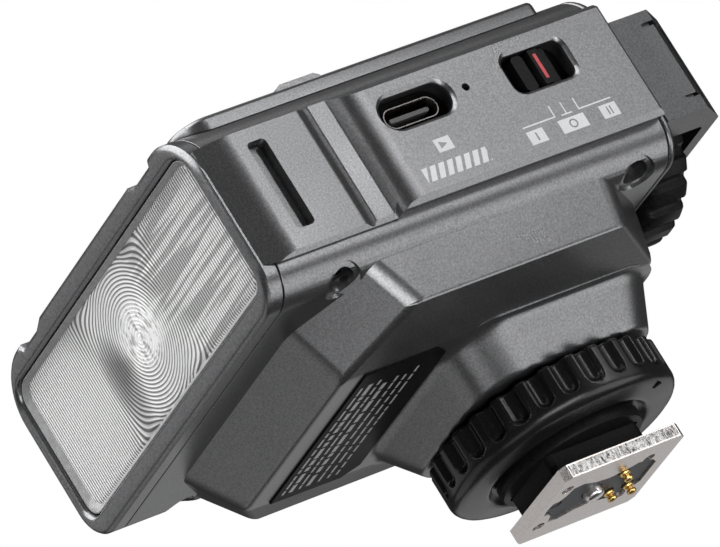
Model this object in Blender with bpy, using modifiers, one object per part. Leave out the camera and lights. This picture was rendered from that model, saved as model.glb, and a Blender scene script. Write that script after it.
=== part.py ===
"""Speedlight flash: a wide flash head on a stepped lower casing, a locking ring and a hot-shoe foot.

The origin is the centre of the foot plate's underside. +Z is up, the flash window faces -Y,
and the control side with the USB-C socket and the mode switch faces +X. Units are metres.
"""

import math

import bmesh
import bpy
from mathutils import Matrix, Vector

MM = 0.001
GAP = 0.3 * MM

# Head: a rounded box that runs from the bezel in front to the rear cover.
HEAD_HALF = 33.7 * MM
HEAD_LOW = 29.2 * MM
HEAD_TOP = 57.4 * MM
HEAD_LOW_RADIUS = 5.4 * MM
HEAD_TOP_RADIUS = 8.1 * MM
WALL = 1.8 * MM
BEZEL_FRONT = -52.1 * MM
BEZEL_BACK = -49.4 * MM
SHELL_REAR = 16.0 * MM
REAR_FACE = 17.5 * MM
SPLIT_Z = 36.0 * MM

# Flash window, lamp and reflector.
WINDOW_HALF = 31.7 * MM
WINDOW_LOW = 32.3 * MM
WINDOW_TOP = 54.2 * MM
TUBE_Y = -37.0 * MM
TUBE_Z = 43.3 * MM
TUBE_RADIUS = 2.0 * MM

# Lower casing: a hull under the head, then a neck over the foot.
HULL_LOW = 21.1 * MM
HULL_RIM = 23.55 * MM
NECK_LOW = 14.6 * MM

# Hot-shoe foot, post and lock.
FOOT_HALF = 9.3 * MM
FOOT_HALF_LENGTH = 10.35 * MM
FOOT_THICK = 2.0 * MM
POST_Y = -1.3 * MM
POST_HALF_X = 6.2 * MM
POST_HALF_Y = 8.1 * MM
RING_RADIUS = 17.6 * MM
RING_TOP = 13.9 * MM
RING_GROOVES = 28
CLAMP_RADIUS = 11.0 * MM

# Side covers.
COVER_BASE = 31.5 * MM
COVER_FRONT = HEAD_HALF + 0.3 * MM
COVER_STEP = 35.0 * MM
COVER_PANEL = 37.3 * MM
COVER_LOW = 33.9 * MM
COVER_TOP = 52.6 * MM

# Controls on the +X panel: centres along Y and Z.
USB_Y = -19.2 * MM
USB_Z = 46.8 * MM
LED_Y = -10.9 * MM
SWITCH_Y = 1.3 * MM
SWITCH_Z = 46.2 * MM

# Rear housing and dial.
BLOCK_HALF = 33.0 * MM
BLOCK_LOW = 34.0 * MM
BLOCK_TOP = 50.2 * MM
BLOCK_REAR = 29.3 * MM
DIAL_X = 12.4 * MM
DIAL_Z = 41.9 * MM
DIAL_RADIUS = 15.4 * MM
DIAL_FRONT = 18.1 * MM
DIAL_REAR = 24.8 * MM
DIAL_RIBS = 24
BUTTON_X = 12.4 * MM
BUTTON_Z = 42.0 * MM

SCREW_PLACES = {
    "front_right": (29.8 * MM, -39.2 * MM),
    "front_left": (-29.8 * MM, -39.2 * MM),
    "rear_right": (29.5 * MM, 11.0 * MM),
    "rear_left": (-29.5 * MM, 11.0 * MM),
}
FOOT_SCREW_PLACES = {
    "front_right": (5.1 * MM, -8.3 * MM),
    "front_left": (-5.1 * MM, -8.3 * MM),
    "rear_right": (5.1 * MM, 5.9 * MM),
    "rear_left": (-5.1 * MM, 5.9 * MM),
}
PIN_PLACES = (
    (-2.8 * MM, 2.9 * MM),
    (2.8 * MM, 2.9 * MM),
    (-2.8 * MM, 6.3 * MM),
)

# ---------------------------------------------------------------- scene

for old in list(bpy.data.objects):
    bpy.data.objects.remove(old, do_unlink=True)

PARTS = bpy.data.collections.new("speedlight_flash")
CUTTERS = bpy.data.collections.new("cutters")
bpy.context.scene.collection.children.link(PARTS)
bpy.context.scene.collection.children.link(CUTTERS)
CUTTERS.hide_render = True


def material(name, color, roughness, metallic=0.0):
    found = bpy.data.materials.new(name)
    found.use_nodes = True
    shader = found.node_tree.nodes["Principled BSDF"]
    shader.inputs["Base Color"].default_value = (*color, 1.0)
    shader.inputs["Roughness"].default_value = roughness
    shader.inputs["Metallic"].default_value = metallic
    return found


PAINT = material("graphite_paint", (0.105, 0.107, 0.112), 0.42, 0.55)
BLACK = material("black_plastic", (0.012, 0.012, 0.013), 0.38)
LENS = material("clear_lens", (0.85, 0.87, 0.88), 0.12)
GLASS = material("dark_glass", (0.02, 0.02, 0.025), 0.08)
MIRROR = material("reflector_foil", (0.85, 0.85, 0.86), 0.15, 1.0)
NICKEL = material("nickel", (0.62, 0.59, 0.57), 0.28, 1.0)
STEEL = material("black_steel", (0.05, 0.05, 0.055), 0.35, 0.9)
GOLD = material("gold", (0.83, 0.55, 0.16), 0.25, 1.0)
RED = material("red_mark", (0.55, 0.03, 0.03), 0.4)
RUBBER = material("grey_rubber", (0.35, 0.35, 0.34), 0.7)
BOARD = material("circuit_board", (0.02, 0.12, 0.06), 0.5)
SLEEVE = material("blue_sleeve", (0.03, 0.08, 0.3), 0.4)
LABEL = material("black_label", (0.015, 0.015, 0.016), 0.25)

# ---------------------------------------------------------------- helpers


def link(name, mesh, finish, cutter=False):
    item = bpy.data.objects.new(name, mesh)
    (CUTTERS if cutter else PARTS).objects.link(item)
    if cutter:
        item.hide_render = True
        item.display_type = "WIRE"
    else:
        mesh.materials.append(finish)
    return item


def from_bmesh(name, build, finish, cutter=False):
    bmesh.ops.remove_doubles(build, verts=build.verts, dist=1e-7)
    bmesh.ops.recalc_face_normals(build, faces=build.faces)
    mesh = bpy.data.meshes.new(name)
    build.to_mesh(mesh)
    build.free()
    return link(name, mesh, finish, cutter)


def rounded(half_u, low_v, high_v, radius, steps=5, center_u=0.0, top_radius=None):
    """A rounded rectangle's outline, anticlockwise; top_radius is for the two corners at high_v."""
    top = radius if top_radius is None else top_radius
    corners = (
        (1, low_v + radius, radius, -90),
        (1, high_v - top, top, 0),
        (-1, high_v - top, top, 90),
        (-1, low_v + radius, radius, 180),
    )
    points = []
    for side, v, r, start in corners:
        u = center_u + side * (half_u - r)
        for step in range(steps + 1):
            angle = math.radians(start + 90 * step / steps)
            points.append((u + r * math.cos(angle), v + r * math.sin(angle)))
    return points


def mirrored(points):
    """An outline completed by its mirror image across u = 0; the points run up the +u side."""
    return list(points) + [(-u, v) for u, v in reversed(points)]


PLANES = {
    "XY": Matrix(((1, 0, 0), (0, 1, 0), (0, 0, 1))),
    "XZ": Matrix(((1, 0, 0), (0, 0, -1), (0, 1, 0))),
    "YZ": Matrix(((0, 0, 1), (1, 0, 0), (0, 1, 0))),
}


def plate(name, outline, plane, low, high, finish=None, holes=(), cutter=False):
    """A flat outline with its holes, filled as a 2D curve and extruded from low to high."""
    curve = bpy.data.curves.new(name, "CURVE")
    curve.dimensions = "2D"
    curve.fill_mode = "BOTH"
    curve.extrude = (high - low) / 2
    for loop in (outline, *holes):
        spline = curve.splines.new("POLY")
        spline.points.add(len(loop) - 1)
        for point, (u, v) in zip(spline.points, loop):
            point.co = (u, v, 0, 1)
        spline.use_cyclic_u = True
    guide = bpy.data.objects.new(name, curve)
    bpy.context.scene.collection.objects.link(guide)
    graph = bpy.context.evaluated_depsgraph_get()
    mesh = bpy.data.meshes.new_from_object(guide.evaluated_get(graph))
    bpy.data.objects.remove(guide, do_unlink=True)
    middle = (low + high) / 2
    shift = Vector((0, 0, -middle if plane == "XZ" else middle))
    build = bmesh.new()
    build.from_mesh(mesh)
    bpy.data.meshes.remove(mesh)
    for vert in build.verts:
        vert.co = PLANES[plane] @ (vert.co + shift)
    return from_bmesh(name, build, finish, cutter)


def block(name, low, high, finish=None, cutter=False):
    """A box between two corners."""
    build = bmesh.new()
    bmesh.ops.create_cube(build, size=1.0)
    for vert in build.verts:
        vert.co = Vector((low[i] + (vert.co[i] + 0.5) * (high[i] - low[i]) for i in range(3)))
    return from_bmesh(name, build, finish, cutter)


def rod(name, axis, center, low, high, radius, finish=None, steps=24, cutter=False, end_radius=None):
    """A round bar along X, Y or Z; center is its place on the other two axes, in X, Y, Z order."""
    build = bmesh.new()
    end = radius if end_radius is None else end_radius
    bmesh.ops.create_cone(
        build, cap_ends=True, segments=steps, radius1=radius, radius2=end, depth=high - low
    )
    turn = {
        "X": Matrix.Rotation(math.pi / 2, 3, "Y"),
        "Y": Matrix.Rotation(-math.pi / 2, 3, "X"),
        "Z": Matrix.Identity(3),
    }[axis]
    middle = (low + high) / 2
    place = list(center)
    place.insert("XYZ".index(axis), middle)
    for vert in build.verts:
        vert.co = turn @ vert.co + Vector(place)
    return from_bmesh(name, build, finish, cutter)


def hull(name, points, finish=None, cutter=False):
    """The convex solid around a set of points."""
    build = bmesh.new()
    for point in points:
        build.verts.new(point)
    result = bmesh.ops.convex_hull(build, input=build.verts)
    loose = [item for item in result["geom_interior"] if isinstance(item, bmesh.types.BMVert)]
    bmesh.ops.delete(build, geom=loose, context="VERTS")
    bmesh.ops.dissolve_limit(
        build, angle_limit=math.radians(0.5), verts=build.verts, edges=build.edges
    )
    return from_bmesh(name, build, finish, cutter)


def boolean(target, other, operation):
    modifier = target.modifiers.new(operation.lower() + "_" + other.name, "BOOLEAN")
    modifier.operation = operation
    modifier.object = other
    modifier.solver = "EXACT"


def cut(target, *cutters):
    for cutter in cutters:
        boolean(target, cutter, "DIFFERENCE")


def join(target, *others):
    for other in others:
        boolean(target, other, "UNION")


def bevel(item, width, segments=2, angle=35):
    modifier = item.modifiers.new("edges", "BEVEL")
    modifier.width = width
    modifier.segments = segments
    modifier.limit_method = "ANGLE"
    modifier.angle_limit = math.radians(angle)
    modifier.use_clamp_overlap = True


def turned(name, profile, columns, finish, depth=None, count=0):
    """A closed (radius, height, groove share) profile swept round Z, with count grooves in its rim."""
    build = bmesh.new()
    rows = []
    for column in range(columns):
        angle = 2 * math.pi * column / columns
        wave = 0.0
        if count:
            phase = (column * count / columns) % 1.0
            wave = 1.0 if phase < 0.5 else 0.0
        row = []
        for radius, height, share in profile:
            r = radius - (depth or 0) * share * wave
            row.append(build.verts.new((r * math.cos(angle), r * math.sin(angle), height)))
        rows.append(row)
    for column, row in enumerate(rows):
        after = rows[(column + 1) % columns]
        for i in range(len(profile)):
            j = (i + 1) % len(profile)
            build.faces.new((row[i], row[j], after[j], after[i]))
    return from_bmesh(name, build, finish)


def smooth(item, angle=35):
    item.data.shade_smooth()
    item.data.set_sharp_from_angle(angle=math.radians(angle))


def hang_from(item, name, place):
    """Parents a piece to an empty on its joint's axis, leaving the piece where it is."""
    pivot = bpy.data.objects.new(name, None)
    pivot.location = place
    PARTS.objects.link(pivot)
    item.parent = pivot
    item.matrix_parent_inverse = Matrix.Translation(place).inverted()


# ---------------------------------------------------------------- head shells


def head_outline(inset=0.0):
    return rounded(
        HEAD_HALF - inset,
        HEAD_LOW + inset,
        HEAD_TOP - inset,
        HEAD_LOW_RADIUS - inset,
        steps=7,
        top_radius=HEAD_TOP_RADIUS - inset,
    )


def make_bezel():
    window = rounded(WINDOW_HALF, WINDOW_LOW, WINDOW_TOP, 2.4 * MM, top_radius=3.4 * MM)
    bezel = plate(
        "front_bezel", head_outline(), "XZ", BEZEL_FRONT, BEZEL_BACK, PAINT, holes=[window]
    )
    for side in (-1, 1):
        middle = side * 21.6 * MM
        outline = [
            (middle - 3.9 * MM, HEAD_TOP + 0.4 * MM),
            (middle - 2.4 * MM, HEAD_TOP - 0.9 * MM),
            (middle + 2.4 * MM, HEAD_TOP - 0.9 * MM),
            (middle + 3.9 * MM, HEAD_TOP + 0.4 * MM),
        ]
        front = BEZEL_FRONT - MM
        back = BEZEL_BACK + MM
        notch = plate(f"notch_{side + 1}", outline, "XZ", front, back, cutter=True)
        cut(bezel, notch)


def make_window_parts():
    lens_outline = rounded(
        WINDOW_HALF - GAP, WINDOW_LOW + GAP, WINDOW_TOP - GAP, 2.2 * MM, top_radius=3.2 * MM
    )
    plate("fresnel_lens", lens_outline, "XZ", -51.7 * MM, -49.7 * MM, LENS)

    def trough(grow):
        """Half of the reflector's outline in the YZ plane: a parabola open towards -Y."""
        points = []
        steps = 14
        half = 9.6 * MM + grow
        depth = 14.0 * MM + grow
        for step in range(steps + 1):
            share = -1 + 2 * step / steps
            points.append((-48.9 * MM + depth * (1 - share * share), TUBE_Z + half * share))
        return points

    outer = plate("reflector", trough(0.0), "YZ", -26.2 * MM, 26.2 * MM, MIRROR)
    flange = rounded(31.4 * MM, 31.8 * MM, 54.8 * MM, 2.4 * MM, top_radius=6.0 * MM)
    join(outer, plate("reflector_flange", flange, "XZ", -49.1 * MM, -48.3 * MM, cutter=True))
    hollow_points = [(y - 0.9 * MM, TUBE_Z + (z - TUBE_Z) * 0.93) for y, z in trough(0.0)]
    first, last = hollow_points[0], hollow_points[-1]
    hollow_points = [(first[0] - 2 * MM, first[1]), *hollow_points, (last[0] - 2 * MM, last[1])]
    hollow = plate("reflector_hollow", hollow_points, "YZ", -25.6 * MM, 25.6 * MM, cutter=True)
    ports = rod("tube_ports", "X", (TUBE_Y, TUBE_Z), -28 * MM, 28 * MM, 2.3 * MM, cutter=True)
    cut(outer, hollow, ports)
    tube = rod("flash_tube", "X", (TUBE_Y, TUBE_Z), -27.6 * MM, 27.6 * MM, TUBE_RADIUS, GLASS)
    smooth(tube)
    for side, name in ((-1, "left"), (1, "right")):
        ends = sorted((side * 27.9 * MM, side * 30.9 * MM))
        holder = rod(
            f"tube_holder_{name}", "X", (TUBE_Y, TUBE_Z), ends[0], ends[1], 2.9 * MM, RUBBER
        )
        smooth(holder)


def control_cutters(tag, low_x, high_x):
    """Cutters for the USB-C socket and the mode switch, from low_x to high_x."""
    usb = rounded(6.3 * MM, USB_Z - 2.95 * MM, USB_Z + 2.95 * MM, 2.9 * MM, center_u=USB_Y)
    switch = rounded(
        5.6 * MM, SWITCH_Z - 3.4 * MM, SWITCH_Z + 3.4 * MM, 1.8 * MM, center_u=SWITCH_Y
    )
    return (
        plate("usb_cut_" + tag, usb, "YZ", low_x, high_x, cutter=True),
        plate("switch_cut_" + tag, switch, "YZ", low_x, high_x, cutter=True),
    )


def split_block(name, low, high):
    """A cutter that takes away everything between two heights."""
    return block(name, (-60 * MM, -70 * MM, low), (60 * MM, 40 * MM, high), cutter=True)


def make_shells():
    front = BEZEL_BACK + GAP
    upper = plate("upper_shell", head_outline(), "XZ", front, SHELL_REAR, PAINT)
    hollow = plate(
        "head_hollow", head_outline(WALL), "XZ", front - MM, SHELL_REAR + MM, cutter=True
    )
    below = split_block("below_split", 0.0, SPLIT_Z + GAP / 2)
    cut(upper, hollow, below, *control_cutters("shell", 30 * MM, 36 * MM))

    lower = plate("lower_shell", head_outline(), "XZ", front, SHELL_REAR, PAINT)
    pads = []
    for name, (x, y) in SCREW_PLACES.items():
        pads.append(
            rod("pad_" + name, "Z", (x, y), 25 * MM, HEAD_LOW + 0.9 * MM, 3.1 * MM, cutter=True)
        )
    cut(lower, *pads)
    hull_points = hull_outline(0.0)
    neck_points = neck_outline(0.0)
    join(
        lower,
        hull("hull_form", hull_points, cutter=True),
        hull("neck_form", neck_points, cutter=True),
    )
    above = split_block("above_split", SPLIT_Z - GAP / 2, 80 * MM)
    floor = split_block("neck_floor", 0.0, NECK_LOW + 2.0 * MM)
    inner_neck = hull("neck_hollow", neck_outline(WALL), cutter=True)
    cut(inner_neck, floor)
    cut(
        lower,
        hollow,
        hull("hull_hollow", hull_outline(WALL), cutter=True),
        inner_neck,
        above,
    )
    for name, (x, y) in SCREW_PLACES.items():
        join(
            lower,
            rod("boss_" + name, "Z", (x, y), 30.6 * MM, SPLIT_Z - GAP / 2, 3.0 * MM, cutter=True),
        )
        cut(
            lower,
            rod("head_hole_" + name, "Z", (x, y), 20 * MM, 33.2 * MM, 2.15 * MM, cutter=True),
            rod("shank_hole_" + name, "Z", (x, y), 32 * MM, 40 * MM, 1.3 * MM, cutter=True),
        )
        join(
            upper,
            rod("post_" + name, "Z", (x, y), SPLIT_Z + GAP / 2, 40.0 * MM, 3.0 * MM, cutter=True),
        )
        cut(
            upper,
            rod("post_hole_" + name, "Z", (x, y), 30 * MM, 44 * MM, 1.3 * MM, cutter=True),
        )
        screw = rod(
            "casing_screw_" + name, "Z", (x, y), 32.0 * MM, 39.5 * MM, 1.0 * MM, STEEL, steps=16
        )
        join(screw, rod("screw_head_" + name, "Z", (x, y), 31.3 * MM, 32.9 * MM, 1.8 * MM,
                        steps=20, cutter=True))
        cut(screw, rod("screw_drive_" + name, "Z", (x, y), 30 * MM, 32.1 * MM, 0.8 * MM,
                       steps=6, cutter=True))
    post_hole = rounded(
        POST_HALF_X + GAP,
        POST_Y - POST_HALF_Y - GAP,
        POST_Y + POST_HALF_Y + GAP,
        1.2 * MM,
    )
    cut(lower, plate("post_hole", post_hole, "XY", 10 * MM, 19 * MM, cutter=True))


def hull_outline(inset):
    """Corner points of the lower casing's hull, drawn in by inset for its hollow."""
    rim = 29.5 * MM - inset
    drop = 2 * MM
    points = []
    for side in (-1, 1):
        points += [
            (side * (20.0 * MM - inset), -45.1 * MM + inset, HEAD_LOW + drop),
            (side * (31.3 * MM - inset), -36.3 * MM + inset, HEAD_LOW + drop),
            (side * (31.9 * MM - inset), -34.9 * MM + inset, HEAD_LOW + drop),
            (side * (31.9 * MM - inset), 5.4 * MM - inset, HEAD_LOW + drop),
            (side * (20.0 * MM - inset), 15.9 * MM - inset, HEAD_LOW + drop),
            (side * (17.4 * MM - inset), -39.2 * MM + inset, HULL_LOW + inset),
            (side * (rim - 0.6 * MM), -31.3 * MM + inset, HULL_RIM + inset),
            (side * rim, -30.1 * MM + inset, HULL_RIM + inset),
            (side * rim, 4.6 * MM - inset, HULL_RIM + inset),
            (side * (rim - 0.7 * MM), 5.8 * MM - inset, HULL_RIM + inset),
            (side * (18.6 * MM - inset), 14.2 * MM - inset, HULL_LOW + inset),
        ]
    return points


def neck_outline(inset):
    """Points round the tapered neck: a wide rounded rectangle above a smaller one."""
    top = rounded(
        18.9 * MM - inset, -19.9 * MM + inset, 14.6 * MM - inset, 8.4 * MM - inset, steps=6
    )
    low = rounded(
        14.8 * MM - inset, -16.9 * MM + inset, 13.6 * MM - inset, 7.6 * MM - inset, steps=6
    )
    high_z = 22.2 * MM if inset == 0 else 24.2 * MM
    low_z = NECK_LOW if inset == 0 else NECK_LOW - 2 * MM
    return [(x, y, high_z) for x, y in top] + [(x, y, low_z) for x, y in low]


def make_rear_cover():
    plate("rear_cover", head_outline(), "XZ", SHELL_REAR + GAP, REAR_FACE, PAINT)


def make_top_cover():
    """The raised top plate, let into the casing's rounded shoulders, with a low pad across it."""
    outline = rounded(30.3 * MM, -48.6 * MM, 11.6 * MM, 4.5 * MM, steps=6, top_radius=1.0 * MM)
    cover = plate("top_cover", outline, "XY", 54 * MM, 58.2 * MM, PAINT)
    shoulder = rounded(
        HEAD_HALF + 0.2 * MM, 0.0, HEAD_TOP + 0.2 * MM, 5 * MM, steps=7,
        top_radius=HEAD_TOP_RADIUS + 0.2 * MM,
    )
    cut(cover, plate("under_cover", shoulder, "XZ", -60 * MM, 30 * MM, cutter=True))
    pad_section = [
        (-32.6 * MM, 57.9 * MM),
        (-24.6 * MM, 57.9 * MM),
        (-25.0 * MM, 58.6 * MM),
        (-25.6 * MM, 58.8 * MM),
        (-31.4 * MM, 58.8 * MM),
        (-32.2 * MM, 58.6 * MM),
    ]
    join(cover, plate("top_pad", pad_section, "YZ", -29.9 * MM, 29.9 * MM, cutter=True))


# ---------------------------------------------------------------- side covers


def cover_profile(panel):
    """The side cover's section in the XY plane: a ramp, a step and, with panel, the raised part."""
    points = [
        (COVER_BASE, -51.0 * MM),
        (COVER_FRONT, -51.0 * MM),
        (COVER_STEP, -47.4 * MM),
        (COVER_STEP, -34.0 * MM),
        (COVER_STEP - 0.5 * MM, -33.7 * MM),
        (COVER_STEP - 0.5 * MM, -33.2 * MM),
        (COVER_STEP, -32.9 * MM),
        (COVER_STEP, -29.6 * MM),
    ]
    if panel:
        points += [
            (COVER_PANEL - 0.9 * MM, -29.2 * MM),
            (COVER_PANEL, -27.6 * MM),
            (COVER_PANEL, 14.8 * MM),
            (COVER_PANEL - 0.6 * MM, 15.6 * MM),
            (COVER_FRONT, 16.6 * MM),
            (COVER_BASE, 16.6 * MM),
        ]
    else:
        points += [
            (COVER_STEP, 15.6 * MM),
            (COVER_FRONT, 16.6 * MM),
            (COVER_BASE, 16.6 * MM),
        ]
    return points


def cover_seat(tag):
    """A cutter the shape of the casing, so that a side cover lies against it with a small gap."""
    grow = 0.25 * MM
    outline = rounded(
        HEAD_HALF + grow,
        HEAD_LOW - grow,
        HEAD_TOP + grow,
        HEAD_LOW_RADIUS + grow,
        steps=7,
        top_radius=HEAD_TOP_RADIUS + grow,
    )
    return plate("cover_seat_" + tag, outline, "XZ", -60 * MM, 30 * MM, cutter=True)


def make_side_cover_right():
    outline = cover_profile(True)
    cover = plate("side_cover_right", outline, "XY", COVER_LOW, COVER_TOP, PAINT)
    draft = [
        (COVER_STEP, COVER_TOP + MM),
        (COVER_STEP, COVER_TOP),
        (COVER_PANEL + 0.1 * MM, 51.2 * MM),
        (COVER_PANEL + 2 * MM, 51.2 * MM),
        (COVER_PANEL + 2 * MM, COVER_TOP + MM),
    ]
    top_draft = plate("cover_draft", draft, "XZ", -31 * MM, 20 * MM, cutter=True)
    slot = rounded(1.6 * MM, 37.0 * MM, 50.6 * MM, 0.6 * MM, center_u=-42.8 * MM, steps=3)
    slot_cutter = plate(
        "cover_slot", slot, "YZ", COVER_STEP - 0.75 * MM, COVER_STEP + MM, cutter=True
    )
    led = rod("led_hole", "X", (LED_Y, USB_Z), 30 * MM, 40 * MM, 0.6 * MM, steps=16, cutter=True)
    hole_cutters = control_cutters("panel", 33 * MM, 39 * MM)
    cut(cover, cover_seat("right"), top_draft, slot_cutter, led, *hole_cutters)
    led_shell = rod("led_passage", "X", (LED_Y, USB_Z), 30 * MM, 36 * MM, 0.75 * MM, steps=16,
                    cutter=True)
    cut(bpy.data.objects["upper_shell"], led_shell)


def make_side_cover_left():
    outline = [(-x, y) for x, y in cover_profile(False)]
    cover = plate("side_cover_left", outline, "XY", COVER_LOW, COVER_TOP, PAINT)
    cut(cover, cover_seat("left"))


# ---------------------------------------------------------------- controls


def make_usb_socket():
    outer = rounded(4.45 * MM, USB_Z - 1.6 * MM, USB_Z + 1.6 * MM, 1.55 * MM, center_u=USB_Y)
    inner = rounded(4.15 * MM, USB_Z - 1.3 * MM, USB_Z + 1.3 * MM, 1.25 * MM, center_u=USB_Y)
    shell = plate("usb_c_shell", outer, "YZ", 27.6 * MM, 35.2 * MM, NICKEL)
    cut(shell, plate("usb_inside", inner, "YZ", 28.2 * MM, 36 * MM, cutter=True))
    tongue = rounded(3.3 * MM, USB_Z - 0.35 * MM, USB_Z + 0.35 * MM, 0.3 * MM, center_u=USB_Y)
    plate("usb_c_tongue", tongue, "YZ", 28.5 * MM, 34.6 * MM, BLACK)


def make_charge_led():
    rod("charge_led", "X", (LED_Y, USB_Z), 27.6 * MM, 36.6 * MM, 0.4 * MM, LENS, steps=12)


def make_mode_switch():
    """A sliding knob with two gripping lands, a groove between them and a red line."""
    low_z = SWITCH_Z - 2.9 * MM
    high_z = SWITCH_Z + 2.9 * MM
    section = [
        (SWITCH_Y - 2.9 * MM, 34.0 * MM),
        (SWITCH_Y + 2.9 * MM, 34.0 * MM),
        (SWITCH_Y + 2.9 * MM, 36.2 * MM),
        (SWITCH_Y - 0.2 * MM, 36.2 * MM),
        (SWITCH_Y - 0.2 * MM, 35.2 * MM),
        (SWITCH_Y - 1.2 * MM, 35.2 * MM),
        (SWITCH_Y - 1.2 * MM, 36.2 * MM),
        (SWITCH_Y - 2.9 * MM, 36.2 * MM),
    ]
    section = [(x, y) for y, x in section]
    knob = plate("mode_switch_knob", section, "XY", low_z, high_z, BLACK)
    stem_low = (30.9 * MM, SWITCH_Y - 1.2 * MM, SWITCH_Z - 1.2 * MM)
    stem_high = (34.5 * MM, SWITCH_Y + 1.2 * MM, SWITCH_Z + 1.2 * MM)
    join(knob, block("knob_stem", stem_low, stem_high, cutter=True))
    line_low = (35.9 * MM, SWITCH_Y + 0.35 * MM, low_z + 0.9 * MM)
    line_high = (38 * MM, SWITCH_Y + 0.95 * MM, high_z - 0.9 * MM)
    cut(knob, block("line_slot", line_low, line_high, cutter=True))
    hang_from(knob, "mode_switch_axis", (36 * MM, SWITCH_Y, SWITCH_Z))
    mark_low = (35.95 * MM, line_low[1] + 0.05 * MM, line_low[2] + 0.05 * MM)
    mark_high = (36.25 * MM, line_high[1] - 0.05 * MM, line_high[2] - 0.05 * MM)
    mark = block("mode_switch_mark", mark_low, mark_high, RED)
    hang_from(mark, "mode_mark_axis", (36 * MM, SWITCH_Y, SWITCH_Z))
    body_low = (27.6 * MM, SWITCH_Y - 6.5 * MM, SWITCH_Z - 3.5 * MM)
    body_high = (30.6 * MM, SWITCH_Y + 6.5 * MM, SWITCH_Z + 3.5 * MM)
    block("mode_switch_body", body_low, body_high, STEEL)


# ---------------------------------------------------------------- rear housing and dial


def chamfered(half, front, rear, side, clip):
    """The rear housing's plan outline: a box with its two rear corners cut back."""
    return [
        (-half, front),
        (half, front),
        (half, rear - clip),
        (side, rear),
        (-side, rear),
        (-half, rear - clip),
    ]


def make_rear_housing():
    front = REAR_FACE + GAP
    outline = chamfered(BLOCK_HALF, front, BLOCK_REAR, 28.0 * MM, 4.5 * MM)
    housing = plate("rear_housing", outline, "XY", BLOCK_LOW, BLOCK_TOP, PAINT)
    dial_bay = block(
        "dial_bay",
        (DIAL_X - DIAL_RADIUS - 0.6 * MM, front - MM, BLOCK_LOW + 1.2 * MM),
        (DIAL_X + DIAL_RADIUS + 0.6 * MM, 27.3 * MM, BLOCK_TOP - 1.2 * MM),
        cutter=True,
    )
    dial_slot = block(
        "dial_slot",
        (DIAL_X - 14.3 * MM, front - MM, 25 * MM),
        (DIAL_X + 14.3 * MM, 27.3 * MM, 60 * MM),
        cutter=True,
    )
    screen_bay = block(
        "screen_bay", (-30.5 * MM, front - MM, 36.4 * MM), (-5.6 * MM, 27.2 * MM, 47.8 * MM),
        cutter=True,
    )
    button_hole = rod(
        "button_hole", "Y", (BUTTON_X, BUTTON_Z), 24 * MM, 31 * MM, 2.5 * MM, cutter=True
    )
    screen = rounded(9.5 * MM, 37.6 * MM, 46.6 * MM, 1.2 * MM, center_u=-18.0 * MM)
    screen_hole = plate("screen_hole", screen, "XZ", 26 * MM, 31 * MM, cutter=True)
    side_slot = block(
        "side_window_slot", (28.9 * MM, 22.1 * MM, 36.0 * MM), (34 * MM, 30.5 * MM, 48.6 * MM),
        cutter=True,
    )
    inner = chamfered(BLOCK_HALF - 0.9 * MM, front, BLOCK_REAR - 0.6 * MM, 27.6 * MM, 4.7 * MM)
    keep = plate("side_window_keep", inner, "XY", 30 * MM, 55 * MM, cutter=True)
    cut(side_slot, keep)
    cut(housing, dial_bay, dial_slot, screen_bay, screen_hole, button_hole, side_slot)


def make_test_button():
    """The round test button in the rear face, with a flange behind the wall."""
    button = rod(
        "test_button", "Y", (BUTTON_X, BUTTON_Z), 25.7 * MM, 29.9 * MM, 2.2 * MM, BLACK, steps=32
    )
    place = (BUTTON_X, BUTTON_Z)
    join(button, rod("button_flange", "Y", place, 25.7 * MM, 26.7 * MM, 3.2 * MM, cutter=True))
    smooth(button)
    hang_from(button, "test_button_axis", (BUTTON_X, 26 * MM, BUTTON_Z))


def make_side_window():
    """The glass strip that wraps the chamfered rear edge on the +X side."""
    outline = [
        (32.35 * MM, 22.4 * MM),
        (32.8 * MM, 22.4 * MM),
        (32.8 * MM, 24.7 * MM),
        (29.5 * MM, 27.7 * MM),
        (29.2 * MM, 27.45 * MM),
        (32.35 * MM, 24.45 * MM),
    ]
    plate("side_window", outline, "XY", 36.3 * MM, 48.3 * MM, GLASS)


def make_display():
    glass = rounded(9.2 * MM, 37.9 * MM, 46.3 * MM, 1.0 * MM, center_u=-18.0 * MM)
    plate("display_window", glass, "XZ", 28.1 * MM, 29.1 * MM, GLASS)
    block(
        "display_module", (-29.0 * MM, 24.0 * MM, 37.0 * MM), (-7.0 * MM, 26.8 * MM, 47.2 * MM),
        BLACK,
    )


def make_dial():
    """The rear dial: a ribbed wheel that turns on a short shaft."""
    depth = DIAL_REAR - DIAL_FRONT
    rim = DIAL_RADIUS
    profile = [
        (3.2 * MM, 0.0, 0),
        (rim - 0.6 * MM, 0.0, 1),
        (rim, 0.6 * MM, 1),
        (rim, depth - 0.8 * MM, 1),
        (rim - 0.8 * MM, depth, 1),
        (3.2 * MM, depth, 0),
    ]
    dial = turned("rear_dial", profile, DIAL_RIBS * 4, BLACK, 0.7 * MM, DIAL_RIBS)
    place = Matrix.Translation((DIAL_X, DIAL_FRONT, DIAL_Z)) @ Matrix.Rotation(
        -math.pi / 2, 4, "X"
    )
    dial.data.transform(place)
    hang_from(dial, "rear_dial_axis", (DIAL_X, DIAL_FRONT, DIAL_Z))
    shaft = rod("dial_shaft", "Y", (DIAL_X, DIAL_Z), 17.8 * MM, 24.9 * MM, 2.9 * MM, STEEL)
    smooth(shaft)


# ---------------------------------------------------------------- electronics


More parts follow.
